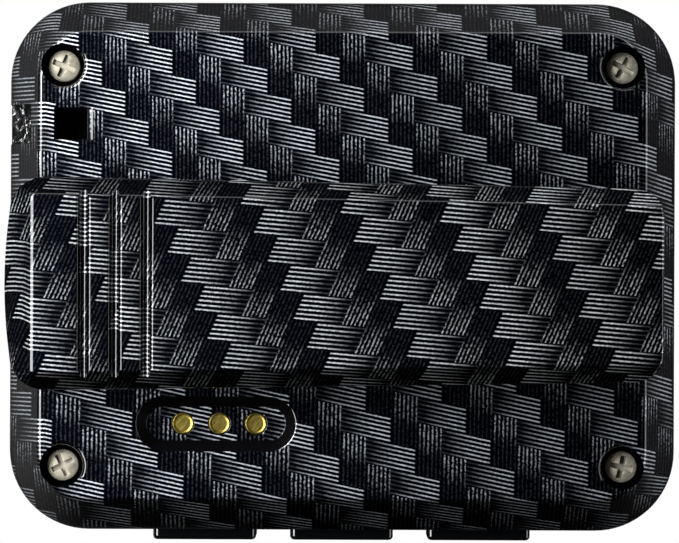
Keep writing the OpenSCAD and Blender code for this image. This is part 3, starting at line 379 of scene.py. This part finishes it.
cellFoil = platedMetal("laminated aluminium foil, cell", "#d3d5d8", "#a7abb0", 0.4, 0.4, 12)
leadPvc = banded("soft PVC, red and black leads", "#8f1414", "#101010", 0.45, 2.8, axis="Y")
connectorNylon = mouldedAbs("moulded nylon, connector", "#d9d6cc", 0.45, 0.2)
tungsten = platedMetal("sintered tungsten, weight", "#8f9193", "#5d5f62", 0.45, 0.08, 0)
bootRubber = mottled("moulded silicone, boot", "#1b1b1d", "#28282b", 0.75, 0.15)
buzzerPlastic = mouldedAbs("moulded PPS, buzzer", "#0d0d0f", 0.5, 0.2)
magnetNickel = platedMetal("nickel plated magnet", "#dcdcd9", "#a9a9a5", 0.22, 0.15, 20)
print("materials:", len(bpy.data.materials))


# Pieces that are finer copies of their solids

copyLook = {
    "merge": 0.001 * mm,
    "flat": math.radians(0.6),      # faces closer than this are one face
    "sharp": math.radians(32),
    "score": 0.002 * mm,            # points this close to a cut are on it
    "onPlane": 0.01 * mm,           # so are points this close to a flat face
    "level": 0.99,                  # a face that points up more than this is flat
    "corner": 0.5,                  # in radians: a sharper bend is an edge of the shells
}


def solidCopy(node):
    bm = bmesh.new()
    bm.from_mesh(nodes[node].data)
    bmesh.ops.remove_doubles(bm, verts=bm.verts, dist=copyLook["merge"])
    bmesh.ops.dissolve_limit(bm, angle_limit=copyLook["flat"], verts=bm.verts, edges=bm.edges)
    return bm


def roundEdges(bm, wanted, offset, segments=2, clamp=True):
    edges = [e for e in bm.edges if e.is_manifold and wanted(e)]
    bmesh.ops.bevel(bm, geom=edges, offset=offset, offset_type="OFFSET", affect="EDGES", segments=segments,
                    profile=0.5, clamp_overlap=clamp, material=-1)
    return len(edges)


def finishPiece(bm, name, materials, body, replaced=(), sharp=copyLook["sharp"]):
    mesh = bpy.data.meshes.new(name)
    bm.normal_update()
    bm.to_mesh(mesh)
    bm.free()
    if "custom_normal" in mesh.attributes:
        mesh.attributes.remove(mesh.attributes["custom_normal"])
    for material in materials:
        mesh.materials.append(material)
    piece = bpy.data.objects.new(name, mesh)
    scene.collection.objects.link(piece)
    mesh.shade_smooth()
    mesh.set_sharp_from_angle(angle=sharp)
    weighted = piece.modifiers.new("weighted", "WEIGHTED_NORMAL")
    weighted.keep_sharp = True
    if replaced:
        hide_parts(*replaced)
    if body:
        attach(piece, body)
    return piece


# How the film lies: its columns and rows as linear functions of a place in millimetres, by X, by Y
# and where they start. The case's film stretched a little between the parts above and below the clip.

caseFilm = {
    "upper": ((0.48199, 0.00054, 14.105), (-0.09012, -0.46270, 7.194)),
    "lower": ((0.47290, -0.00844, 13.870), (-0.09981, -0.45525, 7.609)),
    # the columns also drift with the square of X: how fast, and from where
    "upperBend": (-0.0005, 4.0),
    "lowerBend": (0.0005, 10.0),
    "bendReach": 25.2,              # and no further out than this
    "scoreStep": 6.0,               # the back is cut this often so that the film can bend
    "stretch": (6.6, -10.2),        # Y where the upper part ends and the lower begins
    "cornerR": 6.8 * mm,
    "bevel": 2.8 * mm,
    "leftFold": -25.2,              # past here the rows run level
    "leftPull": 0.2012,
}
halfW, halfH = frontHigh.x, frontHigh.y
coreX, coreY = halfW - caseFilm["cornerR"], halfH - caseFilm["cornerR"]
slopeLength = math.sqrt(2) - 1      # a bevel at 45 degrees is this much longer than its plan


def yarns(film, weave, bend=(0.0, 0.0)):
    columns, rows = [byX * film.x + byY * film.y + start for byX, byY, start in weave]
    reach = caseFilm["bendReach"]
    drift, middle = bend
    return Vector((columns + drift * (max(-reach, min(reach, film.x)) - middle) ** 2, rows))


# From the middle rectangle that the corners' centres span
def fromCore(place):
    return place.xy - Vector((max(-coreX, min(coreX, place.x)), max(-coreY, min(coreY, place.y))))


# Where a place was on the flat film: bevels and sides are folded out
def unwrapped(place, depth):
    out = fromCore(place)
    if out.length > 1e-6:
        out.normalize()
    extra = slopeLength * min(depth, caseFilm["bevel"]) + max(depth - caseFilm["bevel"], 0.0)
    return (place.xy + out * max(extra, 0.0)) / mm


def backYarns(place):
    film = unwrapped(place, backZ - place.z)
    if film.x < caseFilm["leftFold"]:
        film.y += caseFilm["leftPull"] * (caseFilm["leftFold"] - film.x)
    high, low = caseFilm["stretch"]
    share = max(0.0, min(1.0, (high - film.y) / (high - low)))
    upper = yarns(film, caseFilm["upper"], caseFilm["upperBend"])
    return upper.lerp(yarns(film, caseFilm["lower"], caseFilm["lowerBend"]), share)


def frontYarns(place):
    film = unwrapped(place, place.z)
    return yarns(Vector((-film.x, film.y)), caseFilm["upper"])


def layFilm(bm, filmPlace):
    layer = bm.loops.layers.uv.new("film")
    for face in bm.faces:
        for loop in face.loops:
            loop[layer].uv = filmPlace(loop.vert.co)


# Cuts every face along a line across X or Y, so that the film can bend there
def scoreAcross(bm, axis, place):
    normal = Vector((1, 0, 0)) if axis == "x" else Vector((0, 1, 0))
    bmesh.ops.bisect_plane(bm, geom=[*bm.verts, *bm.edges, *bm.faces], dist=copyLook["score"],
                           plane_co=normal * place, plane_no=normal)


# Rear cover

coverLook = {
    "screwX": 23.8 * mm, "screwY": 17.0 * mm, "counterboreR": 1.825 * mm,
    "rimRoll": 0.34 * mm, "rimInner": 0.6,
    "eye": (-23.12 * mm, 12.05 * mm), "eyeReach": 2.3 * mm,
    "eyeDepth": 0.75 * mm,          # the eye's film ends this far down
    "notchX": -26.4 * mm, "notchHalf": 1.75 * mm,
    "notchFacing": -0.2,            # its walls point less to the left than this
    "dock": (-10.7 * mm, -13.4 * mm), "dockHalf": (6.8 * mm, 2.33 * mm), "dockDepth": 1.0 * mm,
    "dockFoot": 0.3 * mm,
    "dockFloor": 0.9,               # the dock's floor points up at least this much
    "dockWall": (0.65, 0.76),       # how far the dock's sloping wall faces up
    "dockMargin": 0.05 * mm,
    "contactX": (-13.54 * mm, -10.44 * mm, -7.34 * mm), "contactHoleR": 0.95 * mm, "holeRoll": 0.06 * mm,
    "holeMargin": 0.03 * mm,
    "margin": 0.02 * mm,            # how far points may lie from a rim or the dock's floor
    "skin": 0.1 * mm,               # what lies deeper than this in the side wall is inside
    "seamRoll": 0.14 * mm, "seamReach": 2.2 * mm,
    "sharp": math.radians(52),
}
screwPlaces = [Vector((sx * coverLook["screwX"], sy * coverLook["screwY"]))
               for sx in (-1, 1) for sy in (-1, 1)]
eyePlace = Vector(coverLook["eye"])
dockPlace = Vector(coverLook["dock"])


def nearestScrew(place):
    return min((place.xy - s).length for s in screwPlaces)


def inDock(place, margin):
    halfX, halfY = coverLook["dockHalf"]
    straight = halfX - halfY
    offset = place.xy - dockPlace
    end = Vector((max(-straight, min(straight, offset.x)), 0.0))
    return (offset - end).length < halfY + margin


coverMaterials = [twill, recessBlack, innerAbs, puddledLacquer, wallBlack]


def coverFinish(face):
    centre = face.calc_center_median()
    if face.normal.z > copyLook["level"] and abs(centre.z - backZ) < copyLook["onPlane"]:
        return twill
    if nearestScrew(centre) < coverLook["counterboreR"] + coverLook["margin"]:
        return recessBlack
    if inDock(centre, coverLook["dockMargin"]) and face.normal.z < coverLook["dockFloor"]:
        low, high = coverLook["dockWall"]
        return wallBlack if low < face.normal.z < high else recessBlack
    if (centre.xy - eyePlace).length < coverLook["eyeReach"] and centre.z < backZ - coverLook["eyeDepth"]:
        return recessBlack
    if (centre.x < coverLook["notchX"] and abs(centre.y - eyePlace.y) < coverLook["notchHalf"] and
            face.normal.x > coverLook["notchFacing"]):
        return puddledLacquer
    deep = fromCore(centre).length < caseFilm["cornerR"] - coverLook["skin"]
    return innerAbs if deep and centre.z < backZ - caseFilm["bevel"] else twill


# The rims run into the bevel's crease on their outer side and stay sharp there
def onRim(edge):
    a, b = (v.co for v in edge.verts)
    inner = coverLook["rimInner"] * coverLook["counterboreR"]
    return (a.xy - b.xy).length > 1e-6 and all(
        v.z > backZ - copyLook["onPlane"] and
        abs(nearestScrew(v) - coverLook["counterboreR"]) < coverLook["margin"] and
        abs(v.x) < coverLook["screwX"] + inner and abs(v.y) < coverLook["screwY"] + inner for v in (a, b))


def onDockFloor(edge):
    return edge.calc_face_angle(0) > copyLook["corner"] and all(
        abs(v.co.z - backZ + coverLook["dockDepth"]) < coverLook["margin"] for v in edge.verts)


def onDockFoot(edge):
    return onDockFloor(edge) and all(inDock(v.co, 0.0) for v in edge.verts)


def onContactHole(edge):
    places = [Vector((x, dockPlace.y)) for x in coverLook["contactX"]]
    return onDockFloor(edge) and all(
        abs(min((v.co.xy - p).length for p in places) - coverLook["contactHoleR"]) < coverLook["holeMargin"]
        for v in edge.verts)


# Where the two shells meet: the edges at one height, no further in from the sides than the reach
def onSeam(edge, height, reach):
    return edge.calc_face_angle(0) > copyLook["corner"] and all(
        abs(v.co.z - height) < 1e-6 and max(abs(v.co.x) - halfW, abs(v.co.y) - halfH) > -reach
        for v in edge.verts)


bm = solidCopy("rear_cover")
holes = roundEdges(bm, onContactHole, coverLook["holeRoll"])
rims = roundEdges(bm, onRim, coverLook["rimRoll"], 4, clamp=False)
feet = roundEdges(bm, onDockFoot, coverLook["dockFoot"], 3)
seams = roundEdges(bm, lambda e: onSeam(e, coverLow.z, coverLook["seamReach"]), coverLook["seamRoll"])
for line in caseFilm["stretch"]:
    scoreAcross(bm, "y", line * mm)
scores = int(caseFilm["bendReach"] / caseFilm["scoreStep"])
for line in (-caseFilm["bendReach"], *[i * caseFilm["scoreStep"] for i in range(-scores, scores + 1)]):
    scoreAcross(bm, "x", line * mm)
for face in bm.faces:
    face.material_index = coverMaterials.index(coverFinish(face))
layFilm(bm, backYarns)
finishPiece(bm, "rear_cover_dipped", coverMaterials, "housing", ["rear_cover"],
            sharp=coverLook["sharp"])
print("rear cover: rim edges", rims, "dock", feet, "contact holes", holes, "seam edges", seams)


# Front housing

frontLook = {
    "seamReach": 0.3 * mm,
    "filmReach": 2.1 * mm,          # how far in from the sides the film was pulled
    "under": 0.02 * mm,             # the front face lies lower than this
    "upward": 0.3,                  # faces that point up more are inside
}
bm = solidCopy("front_housing")
seams = roundEdges(bm, lambda e: onSeam(e, frontHigh.z, frontLook["seamReach"]), coverLook["seamRoll"])
for face in bm.faces:
    centre = face.calc_center_median()
    atSide = max(abs(centre.x) - halfW, abs(centre.y) - halfH) > -frontLook["filmReach"]
    dipped = (atSide or centre.z < frontLook["under"]) and face.normal.z < frontLook["upward"]
    face.material_index = 0 if dipped else 1
layFilm(bm, frontYarns)
finishPiece(bm, "front_housing_dipped", [twill, innerAbs], "housing", ["front_housing"])
print("front housing: seam edges", seams)


# Belt clip

clipLook = {
    "film": ((-0.46929, 0.20407, -8.050), (0.03776, 0.43945, 0.1111)),
    "taper": 0.85,                  # in mm: how far each long side comes in towards the tip
    "edgeBevel": 1.5 * mm,
    "endBevel": 2.4 * mm,
    "endPull": 0.3,                 # how far the film was pulled over the thumb end, for its depth
    "endRoll": 0.22 * mm,           # the crease where the thumb end slopes down
    "endFacing": (-0.95, -0.2),     # how far that slope points along X
    "endUp": 0.2,                   # and at least how far up
    "grooveRoll": 0.28 * mm,        # the lips of the thumb grooves
    "grooveWall": (0.1, 0.9),       # a groove's wall points up less, and along X more
    "round": 0.11 * mm, "corner": math.radians(24),
}
clipMid = (clipLow.y + clipHigh.y) / 2


def clipYarns(place):
    depth = max(clipHigh.z - place.z, 0.0)
    share = (place.x - clipLow.x) / (clipHigh.x - clipLow.x)
    half = (clipHigh.y - clipLow.y) / 2 - share * clipLook["taper"] * mm
    across = place.y - clipMid
    x, y = place.x, place.y
    if abs(across) > half - clipLook["edgeBevel"]:
        extra = slopeLength * min(depth, clipLook["edgeBevel"]) + max(depth - clipLook["edgeBevel"], 0.0)
        y += math.copysign(extra, across)
    elif x < clipLow.x + clipLook["endBevel"]:
        x -= depth * clipLook["endPull"]
    return yarns(Vector((x, y)) / mm, clipLook["film"])


def onThumbEnd(edge):
    steep, top = sorted((f.normal for f in edge.link_faces), key=lambda normal: normal.z)
    low, high = clipLook["endFacing"]
    return top.z > copyLook["level"] and low < steep.x < high and steep.z > clipLook["endUp"]


def onGrooveLip(edge):
    steep, top = sorted((f.normal for f in edge.link_faces), key=lambda normal: normal.z)
    upward, along = clipLook["grooveWall"]
    onTop = all(abs(v.co.z - clipHigh.z) < copyLook["onPlane"] for v in edge.verts)
    return onTop and top.z > copyLook["level"] and abs(steep.z) < upward and abs(steep.x) > along


bm = solidCopy("belt_clip")
thumb = roundEdges(bm, onThumbEnd, clipLook["endRoll"], 4, clamp=False)
lips = roundEdges(bm, onGrooveLip, clipLook["grooveRoll"], 4, clamp=False)
edges = roundEdges(bm, lambda e: e.calc_face_angle(0) > clipLook["corner"], clipLook["round"])
layFilm(bm, clipYarns)
finishPiece(bm, "belt_clip_dipped", [clipTwill], "clip", ["belt_clip"])
print("belt clip: thumb end", thumb, "groove lips", lips, "other edges", edges)


# Case screws: the recess is punched, so its edges are a little round

screwLook = {
    "round": 0.05 * mm, "corner": math.radians(30), "headHeight": 1.2 * mm,
    "recessR": 0.9 * mm, "steep": 0.75,     # the recess walls: how far out, and facing up no more than this
}
bm = solidCopy("case_screws")
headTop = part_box("case_screws")[1].z
edges = roundEdges(bm, lambda e: e.calc_face_angle(0) > screwLook["corner"] and
                   all(v.co.z > headTop - screwLook["headHeight"] for v in e.verts), screwLook["round"])
for face in bm.faces:
    centre = face.calc_center_median()
    inShadedRecess = nearestScrew(centre) < screwLook["recessR"] and centre.z > headTop - screwLook["headHeight"]
    # the steep walls of the cross recess get the dark nickel: painted shade
    face.material_index = 1 if inShadedRecess and abs(face.normal.z) < screwLook["steep"] else 0
finishPiece(bm, "case_screws_plated", [nickel, recessShadeNickel], "housing", ["case_screws"])
print("case screws: rounded edges", edges)


# Charge contacts: turned pins with a dished top and a broken edge

contactLook = {
    "roll": 0.07 * mm, "corner": math.radians(50),
    # rings from the edge inwards: width, fall
    "dish": ((0.10 * mm, 0.05 * mm), (0.12 * mm, 0.025 * mm)),
}
bm = solidCopy("charge_contacts")
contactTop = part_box("charge_contacts")[1].z
edges = roundEdges(bm, lambda e: e.calc_face_angle(0) > contactLook["corner"] and
                   all(v.co.z > contactTop - copyLook["onPlane"] for v in e.verts), contactLook["roll"])
tops = [f for f in bm.faces
        if f.normal.z > copyLook["level"] and f.calc_center_median().z > contactTop - copyLook["onPlane"]]
for width, fall in contactLook["dish"]:
    bmesh.ops.inset_region(bm, faces=tops, thickness=width, depth=-fall, use_even_offset=True)
finishPiece(bm, "charge_contacts_plated", [gold], "housing", ["charge_contacts"])
print("charge contacts: rolled edges", edges)


# Clip spring: one wire wound round the pin, its legs on the back and under the thumb end

springLook = {
    "wire": 0.6 * mm, "coil": 3.0 * mm, "pitch": 1.1 * mm, "turns": 4.5,
    "leg": 6.0 * mm, "lowerDrop": 0.55 * mm, "upperRise": 0.11 * mm,
    "sides": 14, "steps": 32,       # round the wire, and for each turn
}
steps = int(springLook["turns"] * springLook["steps"])
coilLength = springLook["turns"] * springLook["pitch"]
coilStart = hinge + Vector((0, -coilLength / 2, -springLook["coil"] / 2))
bm = bmesh.new()
ring = bmesh.ops.create_circle(bm, segments=springLook["sides"], radius=springLook["wire"] / 2,
                               matrix=Matrix.Translation(coilStart) @ Matrix.Rotation(math.pi / 2, 4, "Y"))
wound = bmesh.ops.spin(bm, geom=bm.edges[:], cent=hinge, axis=(0, -1, 0), steps=steps,
                       angle=springLook["turns"] * 2 * math.pi, dvec=(0, coilLength / steps, 0))
lastRing = [v for v in wound["geom_last"] if isinstance(v, bmesh.types.BMVert)]
for verts, drop in ((ring["verts"], -springLook["lowerDrop"]), (lastRing, springLook["upperRise"])):
    edges = [e for e in bm.edges if all(v in verts for v in e.verts)]
    leg = bmesh.ops.extrude_edge_only(bm, edges=edges)["geom"]
    tip = [v for v in leg if isinstance(v, bmesh.types.BMVert)]
    bmesh.ops.translate(bm, verts=tip, vec=(-springLook["leg"], 0, drop))
    bmesh.ops.contextual_create(bm, geom=[e for e in leg if isinstance(e, bmesh.types.BMEdge) and
                                          all(v in tip for v in e.verts)])
bmesh.ops.recalc_face_normals(bm, faces=bm.faces)
spring = finishPiece(bm, "clip_spring_wound", [springSteel], None, ["clip_spring"])
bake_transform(spring)
print("clip spring:", steps, "steps")


# Display: the segments of a plain clock reading, just proud of the glass and read from below

displayLook = {
    "reading": "00:20",             # reads as a time from either side
    "height": 11.0 * mm, "width": 5.6 * mm, "stroke": 1.15 * mm, "thick": 0.03 * mm,
    "gap": 0.12 * mm,               # between the ends of two segments
    "point": 0.45,                  # how much of its width a segment's end is cut on each side
    "pitch": 8.2 * mm, "colonPitch": 4.6 * mm, "dot": 1.2 * mm,
    "slant": 0.09,                  # sideways for each unit of height
    "lift": 0.02 * mm,              # from the glass
}
# Which of the seven segments each figure lights: top, upper sides, middle, lower sides, bottom
figureSegments = {"0": "abcefg", "2": "acdeg"}
halfStep = displayLook["height"] / 2 - displayLook["stroke"] / 2
sideStep = displayLook["width"] / 2 - displayLook["stroke"] / 2
segmentPlaces = {
    "a": (0.0, halfStep, True), "d": (0.0, 0.0, True), "g": (0.0, -halfStep, True),
    "b": (-sideStep, halfStep / 2, False), "c": (sideStep, halfStep / 2, False),
    "e": (-sideStep, -halfStep / 2, False), "f": (sideStep, -halfStep / 2, False),
}


# A flat bar with pointed ends
def addSegment(bm, x, y, length, across):
    stroke, thick = displayLook["stroke"], displayLook["thick"]
    size = (length, stroke, thick) if across else (stroke, length, thick)
    bar = bmesh.ops.create_cube(bm, size=1.0,
                                matrix=Matrix.Translation((x, y, 0)) @ Matrix.Diagonal((*size, 1.0)))
    corners = [e for e in bm.edges if e.verts[0] in bar["verts"] and e.verts[1] in bar["verts"] and
               abs(e.verts[0].co.z - e.verts[1].co.z) > thick / 2]
    bmesh.ops.bevel(bm, geom=corners, offset=stroke * displayLook["point"], offset_type="OFFSET",
                    affect="EDGES", segments=1, profile=0.5, clamp_overlap=True, material=-1)


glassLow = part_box("lcd_panel")[0]
barFaces = 10                       # eight sides, top and bottom
bm = bmesh.new()
wide = sum(displayLook["colonPitch"] if c == ":" else displayLook["pitch"] for c in displayLook["reading"])
at = -wide / 2
for figure in displayLook["reading"]:
    step = displayLook["colonPitch"] if figure == ":" else displayLook["pitch"]
    middle = at + step / 2
    at += step
    if figure == ":":
        for y in (halfStep / 2, -halfStep / 2):
            addSegment(bm, middle, y, displayLook["dot"], True)
        continue
    for key in figureSegments[figure]:
        x, y, across = segmentPlaces[key]
        length = 2 * sideStep if across else halfStep
        addSegment(bm, middle + x, y, length - displayLook["gap"], across)
for v in bm.verts:
    v.co.x = -(v.co.x + v.co.y * displayLook["slant"])      # seen from below, X runs the other way
    v.co.z += glassLow.z - displayLook["lift"]
bmesh.ops.recalc_face_normals(bm, faces=bm.faces)
segments = len(bm.faces) // barFaces
finishPiece(bm, "display_segments", [displayInk], "housing")
print("display:", segments, "segments")


# Plain finishes on the solids that are right as they are

finishes = {
    "clip_pin": pinSteel,
    "up_button": buttonAbs, "start_button": buttonAbs, "down_button": buttonAbs,
    "up_plunger": plungerNylon, "start_plunger": plungerNylon, "down_plunger": plungerNylon,
    "key_switches": switchSteel, "display_window": windowAcrylic, "window_adhesive": foamTape,
    "lcd_panel": displayGlass, "lcd_frame": framePolycarbonate, "contact_strips": zebraRubber,
    "backlight": lightGuide, "main_board": boardLaminate, "board_screws": nickel, "controller": chipEpoxy,
    "clock_crystal": canSteel, "board_parts": ceramic, "battery": cellFoil, "battery_tape": foamTape,
    "battery_leads": leadPvc, "battery_connector": connectorNylon, "vibration_motor": canSteel,
    "motor_weight": tungsten, "motor_boot": bootRubber, "buzzer": buzzerPlastic,
    "contact_carrier": framePolycarbonate, "dock_magnets": magnetNickel,
}
for node, material in finishes.items():
    nodes[node].data.materials[0] = material
print("finishes:", len(finishes), "solids")


# Stage: a white sheet, a soft panel on the upper left, a bright lamp on the left, and dim walls on the
# right and behind

stageLook = {
    # azimuth from +X, tilt from straight up, distance, size across and along the tilt, power
    "panel": (148.0, 43.0, 0.18, (0.08, 0.065), 0.44),
    "lamp": (188.0, 40.0, 0.17, (0.115, 0.07), 0.28),
    "wall": (8.0, 66.0, 0.60, (1.1, 0.30), 2.4),
    "back": (90.0, 70.0, 0.60, (1.1, 0.28), 1.5),
    "roomLight": 0.002,             # the rest of the room
    # light of the sheet on the left, behind, on the right and in front
    "sheetFar": (0.38, 0.21, 0.09, 0.0),
    "sheetNear": (0.13, 0.08, 0.04, 0.0),
    # distances in metres where each of these starts, is full, begins to fall and ends
    "farReach": (0.05, 0.08, 0.22, 0.45),
    "nearReach": (-1.0, 0.0, 0.05, 0.08),
    "spread": 2.0,                  # how quickly the light of one side gives way to the next
    "sheetHalf": 3.0,
    "sheetDrop": 0.05 * mm,
}
sides = ((-1, 0, 0), (0, 1, 0), (1, 0, 0), (0, -1, 0))


def levelWay(tree, place):
    level = add(tree, "ShaderNodeVectorMath", {0: place, 1: (1, 1, 0)}, operation="MULTIPLY")
    return add(tree, "ShaderNodeVectorMath", {0: level}, operation="NORMALIZE")


# How far a level direction faces one side, 0 to 1
def facing(tree, way, side):
    along = add(tree, "ShaderNodeVectorMath", {0: way, 1: side}, operation="DOT_PRODUCT").outputs["Value"]
    ahead = add(tree, "ShaderNodeMath", {0: along, 1: 0.0}, operation="MAXIMUM")
    return add(tree, "ShaderNodeMath", {0: ahead, 1: stageLook["spread"]}, operation="POWER")


# A light level that changes smoothly from side to side
def bySides(tree, place, levels):
    way = levelWay(tree, place)
    total = 0.0
    for side, light in zip(sides, levels):
        total = add(tree, "ShaderNodeMath", {0: facing(tree, way, side), 1: light, 2: total},
                    operation="MULTIPLY_ADD")
    return total


# Rises from 0 to 1 between the first two values and falls to 0 between the last two
def band(tree, value, rise, full, fall, end):
    up = add(tree, "ShaderNodeMapRange", {"Value": value, "From Min": rise, "From Max": full},
             interpolation_type="SMOOTHSTEP")
    down = add(tree, "ShaderNodeMapRange", {"Value": value, "From Min": end, "From Max": fall},
               interpolation_type="SMOOTHSTEP")
    return add(tree, "ShaderNodeMath", {0: up, 1: down}, operation="MULTIPLY")


# White paper with painted light: for the object it glows, brighter on the left and behind and dark in
# front; to the camera it is plain white
def floorSheet():
    material, tree = startMaterial("white paper sheet, painted glow")
    place = add(tree, "ShaderNodeTexCoord").outputs["Object"]
    reach = add(tree, "ShaderNodeVectorMath", {0: place}, operation="LENGTH").outputs["Value"]
    near = add(tree, "ShaderNodeMath", {0: bySides(tree, place, stageLook["sheetNear"]),
                                        1: band(tree, reach, *stageLook["nearReach"])},
               operation="MULTIPLY")
    far = add(tree, "ShaderNodeMath", {0: bySides(tree, place, stageLook["sheetFar"]),
                                       1: band(tree, reach, *stageLook["farReach"])},
              operation="MULTIPLY")
    glow = add(tree, "ShaderNodeMath", {0: near, 1: far}, operation="ADD")
    path = add(tree, "ShaderNodeLightPath")
    bright = add(tree, "ShaderNodeMix", {"Factor": path.outputs["Is Camera Ray"], "A": glow, "B": 1.0},
                 data_type="FLOAT")
    return finishMaterial(material, add(tree, "ShaderNodeEmission", {"Color": (1.0, 1.0, 1.0, 1.0),
                                                                     "Strength": bright}))


bm = bmesh.new()
bmesh.ops.create_grid(bm, x_segments=1, y_segments=1, size=stageLook["sheetHalf"])
bmesh.ops.translate(bm, verts=bm.verts, vec=(0, 0, -stageLook["sheetDrop"]))
floorMesh = bpy.data.meshes.new("floor")
bm.to_mesh(floorMesh)
bm.free()
floorMesh.materials.append(floorSheet())
floor = bpy.data.objects.new("floor", floorMesh)
scene.collection.objects.link(floor)

for name in ("panel", "lamp", "wall", "back"):
    azimuth, tilt, distance, size, watts = stageLook[name]
    lightData = bpy.data.lights.new(name, "AREA")
    lightData.shape = "RECTANGLE"
    lightData.size, lightData.size_y = size
    lightData.energy = watts
    light = bpy.data.objects.new(name, lightData)
    way = Vector((math.sin(math.radians(tilt)), 0, math.cos(math.radians(tilt))))
    way.rotate(Matrix.Rotation(math.radians(azimuth), 3, "Z"))
    light.location = way * distance
    light.rotation_euler = way.to_track_quat("Z", "Y").to_euler()
    scene.collection.objects.link(light)

world = bpy.data.worlds.new("studio")
world.use_nodes = True
scene.world = world
tree = world.node_tree
tree.nodes.clear()
path = add(tree, "ShaderNodeLightPath")
studio = add(tree, "ShaderNodeBackground", {"Color": (1, 1, 1, 1), "Strength": stageLook["roomLight"]})
white = add(tree, "ShaderNodeBackground", {"Color": (1, 1, 1, 1), "Strength": 1.0})
shown = add(tree, "ShaderNodeMixShader", {0: path.outputs["Is Camera Ray"], 1: studio, 2: white})
add(tree, "ShaderNodeOutputWorld", {"Surface": shown})
scene.view_settings.view_transform = "Standard"
print("stage: floor and four lights")
